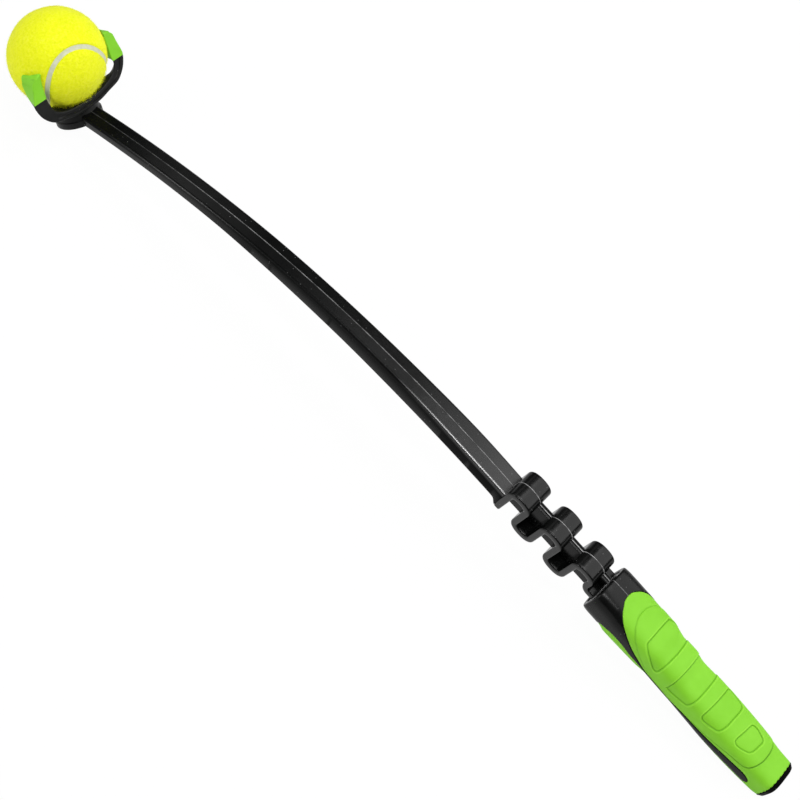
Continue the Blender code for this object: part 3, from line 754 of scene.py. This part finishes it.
def groove_depth(station, side):
    """The groove fades out before the right tip, and where the left prong starts."""
    last = GROOVE_END_RIGHT if side > 0 else GROOVE_END_LEFT
    return BAND_GROOVE * min(1.0, max(0.0, (last - station) / GROOVE_FADE))


def band_rings(side, first, last, grooved=True, swell=0.0):
    """Sections of one side of the claw between two stations of the table."""
    return [band_loop(band_corners(row, side, at), grooved * groove_depth(at, side), swell)
            for at, row in band_rows(first, last)]


def build_cradle():
    left, right = (band_rings(side, 0, PRONG_ROOT_STATION) for side in (-1, 1))
    mesh = loft(left[:0:-1] + right)
    foot = -BASE_OUTER - HUB_HEIGHT
    top = -(BASE_INNER + BASE_OUTER) / 2
    profile = [(0, foot)]
    profile += [(r, -z) for r, z in round_corner(HUB_RADIUS, -foot, HUB_LIP, 5)]
    profile += [(HUB_RADIUS - inward, foot + up) for inward, up in HUB_STEP]
    profile += [(HUB_RADIUS - HUB_NECK_IN, top), (0, top)]
    verts = [mesh.verts.new((r, 0, z)) for r, z in profile]
    edges = [mesh.edges.new(pair) for pair in zip(verts, verts[1:])]
    bmesh.ops.spin(mesh, geom=verts + edges, cent=(0, 0, 0), axis=(0, 0, 1), angle=math.tau,
                   steps=96, use_duplicate=False)
    bmesh.ops.remove_doubles(mesh, verts=mesh.verts, dist=MERGE_DISTANCE)
    add_piece("claw_base", mesh, CLAW_FRAME, "arm", BLACK, ["claw_cradle"])


def cut_level(mesh, height, keep_above):
    """Cut a closed mesh at a height and close it again."""
    geometry = mesh.verts[:] + mesh.edges[:] + mesh.faces[:]
    bmesh.ops.bisect_plane(mesh, geom=geometry, plane_co=(0, 0, height), plane_no=(0, 0, 1),
                           clear_inner=keep_above, clear_outer=not keep_above)
    rim = [edge for edge in mesh.edges if edge.is_boundary]
    bmesh.ops.contextual_create(mesh, geom=rim)
    bmesh.ops.bevel(mesh, geom=rim, offset=JOINT_ROUND, segments=2, profile=0.5,
                    affect="EDGES", clamp_overlap=True)
    return mesh


def build_prong(side, name):
    rings = band_rings(side, PRONG_ROOT_STATION, TIP_STATION)
    prong = cut_level(loft(rings), TIP_STARTS[name], keep_above=False)
    add_piece(f"prong_shell_{name}", prong, CLAW_FRAME, f"prong_{name}", BLACK,
              [f"prong_{name}"])


def build_tip(side, name):
    """Green tip with a rounded end that slopes back towards the ball."""
    rings = band_rings(side, PRONG_ROOT_STATION, TIP_STATION, False, TIP_SWELL)
    last = rings[-1]
    middle = sum(last, Vector()) / len(last)
    for k in range(1, 5):
        angle = math.pi / 2 * k / 4
        shrink = TIP_END_SHRINK * (1 - math.cos(angle))
        ring = []
        for point in last:
            inward = middle - point
            moved = point + inward.normalized() * min(shrink, inward.length * 0.6)
            moved.z += TIP_END_LIFT * math.sin(angle)
            ring.append(out_of_ball(moved))
        rings.append(ring)
    tip = cut_level(loft(rings), TIP_STARTS[name], keep_above=True)
    add_piece(f"tip_shell_{name}", tip, CLAW_FRAME, f"prong_{name}", GREEN,
              [f"tip_{name}"])


# Ball

PANEL_ROWS = 150
PANEL_COLUMNS = 44
FELT_EDGE = 0.0009
FELT_DIP = 0.0006
FELT_ROUGH = 0.00030
FELT_SINK = 0.0001
SEAM_SINK = 0.00045
SEAM_HOLLOW = 0.00015
SEAM_FLOOR = BALL_RADIUS - 0.0022
FUZZ_COUNT = 26000
FUZZ_SEED = 11
FUZZ_ROOT = BALL_RADIUS - 0.00025
# Fibres grow longer from this height below the ball's middle, by this much per radius
FUZZ_CLAW_START = 0.35
FUZZ_CLAW_GROWTH = 3.2


def ball_turn():
    roll, pitch, yaw = BALL_TURN
    return (Matrix.Rotation(yaw, 3, "Z") @ Matrix.Rotation(pitch, 3, "Y")
            @ Matrix.Rotation(roll, 3, "X"))


def ball_frame():
    return CLAW_FRAME @ ball_turn().to_4x4()


def seam_point(turn):
    main = 1 - SEAM_SWING
    return Vector((
        main * math.cos(turn) + SEAM_SWING * math.cos(3 * turn),
        main * math.sin(turn) - SEAM_SWING * math.sin(3 * turn),
        2 * math.sqrt(main * SEAM_SWING) * math.sin(2 * turn),
    ))


def seam_side(turn):
    """Point on the seam and the direction to its left, both on the unit sphere."""
    step = math.tau / 1000
    here = seam_point(turn).normalized()
    along = (seam_point(turn + step) - seam_point(turn - step)).normalized()
    return here, here.cross(along).normalized()


def beside_seam(turn, offset):
    here, left = seam_side(turn)
    return (here * math.cos(offset) + left * math.sin(offset)).normalized()


def felt_radius(direction, edge_distance):
    """Radius of the felt's surface: rough all over, rounded down towards the seam."""
    place = direction * BALL_RADIUS
    rough = noise.noise(place * 420) * 0.6 + noise.noise(place * 1300) * 0.4
    fall = max(0.0, 1 - edge_distance / FELT_EDGE)
    return BALL_RADIUS - FELT_SINK + rough * FELT_ROUGH - FELT_DIP * fall * fall


def panel_directions(flip, half):
    """Unit directions over one dog-bone panel, row by row, with its two end points."""
    first = -math.pi / 4 + (math.pi / 2 if flip else 0)
    sign = -1 if flip else 1
    rows = []
    for i in range(1, PANEL_ROWS):
        share = i / PANEL_ROWS
        start = beside_seam(first + math.pi * share, sign * half)
        end = beside_seam(first - math.pi * share, sign * half)
        span = start.angle(end)
        rows.append([start.slerp(end, j / PANEL_COLUMNS) if span > 1e-4 else start
                     for j in range(PANEL_COLUMNS + 1)])
    ends = [beside_seam(first + math.pi * k, sign * half) for k in (0, 1)]
    return rows, ends


def nearest_seam(directions):
    """Angle from each unit direction to the seam, and which side it lies on."""
    turns = [math.tau * i / 480 for i in range(480)]
    sides = [seam_side(turn) for turn in turns]
    points = np.array([here for here, _ in sides])
    lefts = np.array([left for _, left in sides])
    cosine = directions @ points.T
    best = cosine.argmax(axis=1)
    angle = np.arccos(np.clip(cosine.max(axis=1), -1, 1))
    side = np.sign(np.einsum("ij,ij->i", directions, lefts[best]))
    return angle, side


def add_fuzz(mesh, wanted_side, rng):
    """Short fibres that stand off the felt on one panel."""
    turn_in_claw = ball_turn()
    directions = []
    for _ in range(FUZZ_COUNT):
        z = rng.uniform(-1, 1)
        turn = rng.uniform(0, math.tau)
        flat = math.sqrt(1 - z * z)
        directions.append((flat * math.cos(turn), flat * math.sin(turn), z))
    angle, side = nearest_seam(np.array(directions))
    margin = (SEAM_WIDTH / 2 + 0.0002) / BALL_RADIUS
    for direction, away, where in zip(directions, angle, side):
        values = [rng.random() for _ in range(6)]
        if where != wanted_side or away < margin:
            continue
        up = Vector(direction)
        tangent = up.orthogonal().normalized()
        tangent = Matrix.Rotation(values[0] * math.tau, 3, up) @ tangent
        lean = math.radians(15 + 45 * values[1])
        in_claw = max(0.0, -(turn_in_claw @ up).z - FUZZ_CLAW_START)
        length = (0.0008 + 0.0011 * values[2]) * (1 + FUZZ_CLAW_GROWTH * in_claw)
        width = 0.00003 + 0.00002 * values[3]
        across = up.cross(tangent) * width
        root = up * FUZZ_ROOT
        middle = root + (tangent * math.cos(lean) + up * math.sin(lean)) * length * 0.55
        droop = lean - math.radians(15 + 30 * values[4])
        end = middle + (tangent * math.cos(droop) + up * math.sin(droop)) * length * 0.45
        verts = [mesh.verts.new(p) for p in (root - across, root + across, middle + across * 0.8,
                                             middle - across * 0.8, end)]
        mesh.faces.new(verts[:4])
        mesh.faces.new((verts[3], verts[2], verts[4]))


def build_felt():
    half = (SEAM_WIDTH / 2 + 0.0001) / BALL_RADIUS
    for name, flip in (("a", False), ("b", True)):
        rows, ends = panel_directions(flip, half)
        mesh = bmesh.new()
        angle, _ = nearest_seam(np.array([tuple(way) for row in rows for way in row]))
        edges = iter(np.maximum((angle - half) * BALL_RADIUS, 0))
        grid = [[mesh.verts.new(way * felt_radius(way, next(edges))) for way in row]
                for row in rows]
        tips = [mesh.verts.new(point * felt_radius(point, 0)) for point in ends]
        for lower, upper in zip(grid, grid[1:]):
            for j in range(PANEL_COLUMNS):
                mesh.faces.new((lower[j], lower[j + 1], upper[j + 1], upper[j]))
        for row, tip in ((grid[0], tips[0]), (grid[-1], tips[1])):
            for a, b in zip(row, row[1:]):
                mesh.faces.new((a, b, tip))
        # A skirt closes the felt's edge down to the seam's floor
        border = [tips[0]] + [row[0] for row in grid] + [tips[1]]
        border += [row[-1] for row in reversed(grid)]
        skin(mesh, border, [mesh.verts.new(v.co.normalized() * SEAM_FLOOR) for v in border])
        bmesh.ops.recalc_face_normals(mesh, faces=mesh.faces)
        add_fuzz(mesh, -1 if flip else 1, random.Random(FUZZ_SEED + flip))
        add_piece(f"felt_{name}", mesh, ball_frame(), "ball", FELT,
                  [f"felt_panel_{name}"], sharp=180)


def build_seam():
    """Pale rubber line, slightly hollow across, sunk between the felt panels."""
    half = (SEAM_WIDTH / 2 + 0.0003) / BALL_RADIUS
    count = 360
    across = (-1, -0.8, -0.5, -0.2, 0.2, 0.5, 0.8, 1)
    mesh = bmesh.new()
    rows = []
    for i in range(count):
        turn = math.tau * i / count
        row = []
        for share in across:
            point = beside_seam(turn, share * half)
            wave = noise.noise(point * 60) * 0.00005
            radius = BALL_RADIUS - SEAM_SINK - SEAM_HOLLOW * (1 - share * share) + wave
            row.append(mesh.verts.new(point * radius))
        for share in (1, -1):
            row.append(mesh.verts.new(beside_seam(turn, share * half) * SEAM_FLOOR))
        rows.append(row)
    for row, after in zip(rows, rows[1:] + rows[:1]):
        skin(mesh, row, after)
    add_piece("seam_line", mesh, ball_frame(), "ball", SEAM, ["ball_seam"])


# Neck

NECK_CORNER = 0.0011
NECK_GLOSS = 0.19
NECK_SIDE_GLOSS = 0.42
NECK_LINE_HEIGHT = 0.00022
NECK_LINE_HALF = 0.00030
NECK_SIDE_SKIN = 0.0001
LOBE_STEPS = 28
LOBE_POWER = 0.86
HOOK_STEPS = 14
FOOT_ROUND = 0.0012
FOOT_ANGLES = (80, 55, 28)
WEB_STEPS = 60
WEB_EDGE = 0.0004
# The ridge between two shallow grooves on the web's top: across it, and out of its top
WEB_RIDGE = ((0, 0.0001), (0.0003, 0.0001), (0.0006, -0.0006))
# A distance in from the collar; build_neck finds the point this far in, and nothing uses it
BEND_FROM_COLLAR = 0.006


def neck_path():
    """Middle line of the folded strip, as places with their directions."""
    left = NECK_WALL / 2
    half = NECK_HALF_PITCH / 2
    top = NECK_TOP - NECK_WALL / 2 - NECK_RISE
    bottom = -NECK_BOTTOM + NECK_WALL / 2 + NECK_RISE
    path = [(left, -NECK_FOOT), (left, -NECK_FOOT + 0.0006), (left, 0)]
    for lobe in range(NECK_LOBES):
        up = 1 if lobe % 2 == 0 else -1
        base = top if up > 0 else bottom
        centre = left + lobe * NECK_HALF_PITCH + half
        for i in range(LOBE_STEPS + 1):
            angle = math.pi * (1 - i / LOBE_STEPS)
            c, s = math.cos(angle), math.sin(angle)
            path.append((centre + half * math.copysign(abs(c) ** LOBE_POWER, c),
                         base + up * NECK_RISE * abs(s) ** LOBE_POWER))
    last = left + NECK_LOBES * NECK_HALF_PITCH
    middle = -NECK_HOOK_DEPTH + NECK_WALL / 2
    for i in range(HOOK_STEPS + 1):
        angle = math.pi / 2 * i / HOOK_STEPS
        path.append((last + NECK_HOOK_RADIUS * (1 - math.cos(angle)),
                     middle + NECK_HOOK_RADIUS * (1 - math.sin(angle))))
    path.append((NECK_LENGTH + 0.001, middle))
    kept = [Vector(path[0])]
    for place in map(Vector, path[1:]):
        if (place - kept[-1]).length > 0.00005:
            kept.append(place)
    made = []
    for i, place in enumerate(kept):
        before = kept[max(i - 1, 0)]
        after = kept[min(i + 1, len(kept) - 1)]
        along = (after - before).normalized()
        made.append((place.x, place.y, along.x, along.y))
    return made


def strip_outline():
    """Half outline of the strip's section: across it in Y, and out of its faces."""
    half = NECK_WIDTH / 2
    wall = NECK_WALL / 2
    peak = wall + NECK_LINE_HEIGHT
    upper = [(0, peak), (NECK_LINE_HALF * 0.45, peak), (NECK_LINE_HALF, wall),
             (half * 0.5, wall), (half - NECK_CORNER * 2, wall)]
    upper += round_corner(half, wall, NECK_CORNER, 4)
    right = upper + [(y, -z) for y, z in reversed(upper)]
    return right + [(-y, z) for y, z in reversed(right[1:-1])]


def build_neck():
    section = strip_outline()
    rings = []
    for angle in FOOT_ANGLES:
        share = math.cos(math.radians(angle))
        thin, narrow = 0.4 + 0.6 * share, 0.93 + 0.07 * share
        low = -NECK_FOOT - FOOT_ROUND * math.sin(math.radians(angle))
        rings.append([Vector((NECK_WALL / 2 - n * thin, y * narrow, low)) for y, n in section])
    for x, z, along_x, along_z in neck_path():
        normal = Vector((-along_z, 0, along_x))
        centre = Vector((x, 0, z))
        rings.append([centre + Vector((0, y, 0)) + normal * n for y, n in section])
    mesh = loft(rings)
    half = WEB_THICKNESS / 2
    side = [(y, WEB_TOP + up) for y, up in WEB_RIDGE]
    side += [(half - 0.0011, WEB_TOP - 0.0006), (half - 0.0009, WEB_TOP)]
    side += round_corner(half, WEB_TOP, WEB_EDGE, 3)
    side += [(half, -WEB_BOTTOM + WEB_EDGE), (half - WEB_EDGE, -WEB_BOTTOM), (0, -WEB_BOTTOM)]
    outline = side + [(-y, z) for y, z in side[-2:0:-1]]
    start = NECK_WALL / 2
    rings = [[Vector((start + (NECK_LENGTH - start) * i / WEB_STEPS, y, z)) for y, z in outline]
             for i in range(WEB_STEPS + 1)]
    loft(rings, mesh)
    gloss = mesh.verts.layers.float.new("gloss")
    for vert in mesh.verts:
        on_side = abs(vert.co.y) > NECK_WIDTH / 2 - NECK_SIDE_SKIN
        vert[gloss] = NECK_SIDE_GLOSS if on_side else NECK_GLOSS
    neck = add_piece("neck_strip", mesh, HANDLE_FRAME, None, NECK_BLACK,
                     ["flex_neck"])
    start = HANDLE_FRAME @ Vector((NECK_LENGTH - BEND_FROM_COLLAR, 0, 0))
    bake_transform(neck)


# Handle

# From here on the sizes on the handle's surface are in millimetres
HANDLE_ROWS = 520
HANDLE_HALF_COLUMNS = 150
SLEEVE_END = HANDLE_LENGTH / MM - 2.7
SLEEVE_TUCK = 1.0
# The sleeve's uneven end at the butt: size, pace and shift of its waves
RAGGED_END = ((0.22, 1.9, 0.0), (0.20, 5.3, 1.0), (0.16, 11.7, 2.0))
SHOULDER = 0.6
PAD_DEPTH = 0.42
PANEL_HEIGHT = 0.38
WALL_WIDTH = 0.75
CREASE_DEPTH = 0.30
CREASE_HALF = 0.36
# Strength of the painted shade in the creases and of the painted highlight on the lips
PAINTED_SHADING_STRENGTH = 0.60
CORE_GLOSS = ((0, 22, 60, 150, 158), (0.15, 0.15, 0.09, 0.09, 0.01))
# The lip outside each pad: how far out, how high, and the strength of its painted highlight
LIP_AWAY = 0.75
LIP_HEIGHT = 0.10
LIP_HIGHLIGHT_STRENGTH = 0.6
# How much narrower each pad is on its far side, and how far it slants there
PAD_FAR_SIDES = ((1.0, 0.0), (1.0, 0.0), (1.2, 0.1), (1.35, 0.3))
CORE_SINK = 0.12
CORE_SINK_MAX = 1.6
CORE_SHOULDER = 0.35
CORE_LINE_HALF = 0.28
CORE_LINE_HEIGHT = 0.2
CORE_LINE_END = 20
COLLAR_ROUND = 1.3
# Rings that close the ends: share of the end's own ring, and move in X in metres
COLLAR_PAN = ((0.97, 0.0001), (0.90, 0.0002), (0.86, 0.0008), (0.5, 0.0008), (0.0, 0.0008))
BUTT_DOME = ((0.97, 0.0003), (0.9, 0.0007), (0.6, 0.0012), (0.3, 0.0014), (0.0, 0.0014))


def handle_surface():
    """Points and normals over the handle, with their places along and round it in mm."""
    table = np.array(HANDLE_SHARES)
    shares = np.linspace(0, 1, HANDLE_ROWS + 1)
    sizes = smooth_curve(table[:, 0], table[:, 1], shares)
    drops = smooth_curve(table[:, 0], table[:, 2], shares)
    t = np.linspace(0, math.pi, 3001)
    power = 2 / HANDLE_EXPONENT
    unit_y = np.abs(np.sin(t)) ** power
    unit_z = np.sign(np.cos(t)) * np.abs(np.cos(t)) ** power
    columns = 2 * HANDLE_HALF_COLUMNS
    points = np.zeros((len(shares), columns, 3))
    around = np.zeros((len(shares), columns))
    for i, (share, size, drop) in enumerate(zip(shares, sizes, drops)):
        y = HANDLE_HALF_WIDTH * size * unit_y
        z = HANDLE_HALF_HEIGHT * size * unit_z
        arc = np.concatenate([[0], np.cumsum(np.hypot(np.diff(y), np.diff(z)))])
        at = np.linspace(0, arc[-1], HANDLE_HALF_COLUMNS + 1)
        right_y, right_z = np.interp(at, arc, y), np.interp(at, arc, z)
        full_y = np.concatenate([right_y, -right_y[-2:0:-1]])
        full_z = np.concatenate([right_z, right_z[-2:0:-1]])
        points[i, :, 0] = HANDLE_START + HANDLE_LENGTH * share
        points[i, :, 1] = full_y
        points[i, :, 2] = full_z - HANDLE_DROP * drop
        around[i] = np.concatenate([at, at[-2:0:-1]]) / MM
    along = np.repeat(shares[:, None] * HANDLE_LENGTH / MM, columns, axis=1)
    lengthwise = np.gradient(points, axis=0)
    crosswise = np.roll(points, -1, axis=1) - np.roll(points, 1, axis=1)
    normals = np.cross(crosswise, lengthwise)
    normals /= np.linalg.norm(normals, axis=2, keepdims=True)
    middle = points.mean(axis=1, keepdims=True)
    flip = np.sign(((points - middle) * normals).sum(axis=2, keepdims=True))
    return points, normals * flip, along, around


def shoulder(depth, radius):
    """Height of a rounded border: 0 well inside, falling away at the edge."""
    inside = np.clip(radius - depth, 0, radius)
    rounded = radius - np.sqrt(radius ** 2 - inside ** 2)
    return -np.where(depth > 0, rounded, radius - depth * 1.4)


def build_handle():
    points, normals, along, around = handle_surface()
    window = -inside_distance(bare_outline(), along, around)
    build_sleeve(points, normals, along, around, window)
    build_core(points, normals, along, around, window)


def bare_outline():
    """The bare part's outline: the window, carried round the collar's front."""
    return smooth_outline(WINDOW_OUTLINE) + [(-20, 60), (-20, 0)]


def groove(distance):
    """Share of a fine crease's depth at a distance from its line."""
    return np.exp(-(distance / CREASE_HALF) ** 2)


def build_sleeve(points, normals, along, around, window):
    """Green grip: raised panel with four hollow finger pads, soft borders."""
    ragged = sum(size * np.sin(around * pace + shift) for size, pace, shift in RAGGED_END)
    depth = np.minimum(window, SLEEVE_END + ragged - along)
    height = shoulder(depth, SHOULDER)
    panel = inside_distance(smooth_outline(PANEL_OUTLINE), along, around)
    # Painted shade along the panel's border crease, stronger towards the butt
    dark = groove(panel + 0.3) * np.clip(along / 60 - 0.4, 0.6, 1.5)
    height += PANEL_HEIGHT * (step_up(panel, WALL_WIDTH) - 1) - CREASE_DEPTH * dark
    far = np.where(points[:, :, 1] > 0, around, 0)
    for outline, (narrow, shear) in zip(PAD_OUTLINES, PAD_FAR_SIDES):
        across = np.where(far > 0, around * narrow, around)
        pad = inside_distance(smooth_outline(outline), along - far * shear, across)
        crease = groove(pad - 0.3)
        lip = groove(pad + LIP_AWAY)
        height += LIP_HEIGHT * lip - PAD_DEPTH * step_up(pad, WALL_WIDTH) - CREASE_DEPTH * crease
        # Painted shade in each pad's crease, and painted highlight on the lip outside it
        dark += crease - LIP_HIGHLIGHT_STRENGTH * lip
    placed = points + normals * height[:, :, None] * MM
    keep = depth > -SLEEVE_TUCK
    keep &= np.roll(keep, -1, axis=1)
    keep = keep[:-1] & keep[1:]
    mesh = grid_mesh(placed, keep, shade=dark * PAINTED_SHADING_STRENGTH)
    add_piece("grip_shell", mesh, HANDLE_FRAME, "handle", GREEN,
              ["grip_sleeve"])


def build_core(points, normals, along, around, window):
    """Black handle: collar with a round front rim, side stripes and butt."""
    depth = -np.minimum(window, SLEEVE_END - along)
    height = np.maximum(shoulder(depth, CORE_SHOULDER) - CORE_SINK, -CORE_SINK_MAX)
    line = np.exp(-(around / CORE_LINE_HALF) ** 2) * CORE_LINE_HEIGHT * (along < CORE_LINE_END)
    placed = points + normals * (height + line)[:, :, None] * MM
    collar = np.clip(COLLAR_ROUND - along, 0, COLLAR_ROUND)
    drawn = COLLAR_ROUND - np.sqrt(COLLAR_ROUND ** 2 - collar ** 2)
    placed = placed - normals * drawn[:, :, None] * MM
    mesh = grid_mesh(placed)
    close_end(mesh, placed[0], COLLAR_PAN)
    close_end(mesh, placed[-1], BUTT_DOME)
    bmesh.ops.remove_doubles(mesh, verts=mesh.verts, dist=MERGE_DISTANCE)
    gloss = mesh.verts.layers.float.new("gloss")
    for vert in mesh.verts:
        vert[gloss] = np.interp((vert.co.x - HANDLE_START) / MM, *CORE_GLOSS)
    add_piece("handle_shell", mesh, HANDLE_FRAME, "handle", HANDLE_BLACK,
              ["handle_core"])


def close_end(mesh, points, steps):
    """Close an end of the handle: a shallow pan at the collar, a low dome at the butt."""
    middle = Vector(points.mean(axis=0))
    ring = [Vector(point) for point in points]
    before = [mesh.verts.new(point) for point in ring]
    for share, move in steps[:-1]:
        place = middle + Vector((move, 0, 0))
        now = [mesh.verts.new(place + (point - middle) * share) for point in ring]
        skin(mesh, before, now)
        before = now
    tip = mesh.verts.new(middle + Vector((steps[-1][1], 0, 0)))
    for first, second in zip(before, before[1:] + before[:1]):
        mesh.faces.new((first, second, tip))


# Stage, lights and camera

FLOOR_TONE = (0.9, 0.9, 0.9, 1)
FLOOR_GLOW_SHARE = 0.97
FLOOR_HALF = 12
FLOOR_RIM = 2
ROOM_LIGHT = 0.10
# Name, place, length, width and power; each lamp faces the launcher
LAMPS = (
    ("key", (0.9, 1.15, 1.55), 2.2, 2.2, 33),
    ("strip", (0.15, -0.4, 2.1), 1.5, 0.20, 20),
    ("top", (-0.15, 0.82, 1.93), 1.1, 0.5, 7),
    ("back", (-1.1, 0.8, 1.6), 0.9, 0.9, 2.0),
    ("fill", (-1.4, -1.5, 1.2), 2.0, 2.0, 16),
    ("glint", (-1.1, -1.2, 1.1), 0.35, 0.35, 5),
)


def floor_material():
    """White floor: as bright as the background to the camera, but it keeps its shadow."""
    made = bpy.data.materials.new("floor")
    made.use_nodes = True
    tree = made.node_tree
    tree.nodes.clear()
    path = tree.nodes.new("ShaderNodeLightPath")
    seen = path.outputs["Is Camera Ray"]
    for ray in ("Is Glossy Ray", "Is Transmission Ray"):
        seen = math_node(tree, "MAXIMUM", seen, path.outputs[ray])
    mix = add_node(tree, "MixShader", {"Fac": math_node(tree, "MULTIPLY", seen, FLOOR_GLOW_SHARE)})
    diffuse = add_node(tree, "BsdfDiffuse", {"Color": FLOOR_TONE})
    glow = add_node(tree, "Emission", {"Strength": 1.0})
    tree.links.new(diffuse.outputs[0], mix.inputs[1])
    tree.links.new(glow.outputs[0], mix.inputs[2])
    add_node(tree, "OutputMaterial", {"Surface": mix.outputs[0]})
    return made


def build_floor():
    """A wide floor with a low rim, so that no horizon shows in a low view."""
    mesh = bmesh.new()
    bmesh.ops.create_grid(mesh, x_segments=1, y_segments=1, size=FLOOR_HALF)
    rim = bmesh.ops.extrude_edge_only(mesh, edges=mesh.edges[:])["geom"]
    bmesh.ops.translate(mesh, vec=(0, 0, FLOOR_RIM),
                        verts=[item for item in rim if isinstance(item, bmesh.types.BMVert)])
    data = bpy.data.meshes.new("floor")
    mesh.to_mesh(data)
    mesh.free()
    data.materials.append(floor_material())
    floor = add_object("floor", data)


def build_world():
    """A dim, even room; the lamps do the rest."""
    world = bpy.data.worlds.new("studio")
    bpy.context.scene.world = world
    world.use_nodes = True
    room = world.node_tree.nodes["Background"]
    fill(world.node_tree, room, {"Color": (1, 1, 1, 1), "Strength": ROOM_LIGHT})


def build_lights():
    for name, place, length, width, power in LAMPS:
        data = bpy.data.lights.new(name, "AREA")
        data.shape = "ELLIPSE"
        data.size = length
        data.size_y = width
        data.energy = power
        lamp = add_object(name, data)
        lamp.location = place
        lamp.rotation_euler = (-Vector(place)).to_track_quat("-Z", "Y").to_euler()


def build_camera():
    """Stand the camera where the photograph was taken from."""
    lean = CAMERA_LEAN
    turn = Matrix.Rotation(CAMERA_SWING, 3, "Z")
    back = turn @ Vector((0, -math.sin(lean), math.cos(lean)))
    side = turn @ Vector((1, 0, 0))
    rise = back.cross(side)
    c, s = math.cos(CAMERA_ROLL), math.sin(CAMERA_ROLL)
    right = side * c + rise * s
    up = rise * c - side * s
    place = back * CAMERA_DISTANCE + right * CAMERA_SHIFT[0] + up * CAMERA_SHIFT[1]
    place.x += CAMERA_TARGET_X
    matrix = Matrix((right, up, back)).transposed().to_4x4()
    matrix.translation = place
    data = bpy.data.cameras.new("camera")
    data.sensor_width = SENSOR_MM
    data.lens = FOCAL_PIXELS / PHOTO_SIDE * SENSOR_MM
    data.clip_start = 0.01
    camera = add_object("camera", data)
    camera.matrix_world = HANDLE_FRAME @ matrix
    bpy.context.scene.camera = camera


def dress_core():
    """The ball's inner cups stay as they are, in dark rubber."""
    for name in ("ball_core_lower", "ball_core_upper"):
        slots = frame["nodes"][name].data.materials
        slots.clear()
        slots.append(CORE)


def main():
    bpy.context.scene.view_settings.view_transform = "Standard"
    build_arm()
    build_cradle()
    for side, name in ((-1, "left"), (1, "right")):
        build_prong(side, name)
        build_tip(side, name)
    build_felt()
    build_seam()
    dress_core()
    build_neck()
    build_handle()
    build_floor()
    build_world()
    build_lights()
    build_camera()


main()
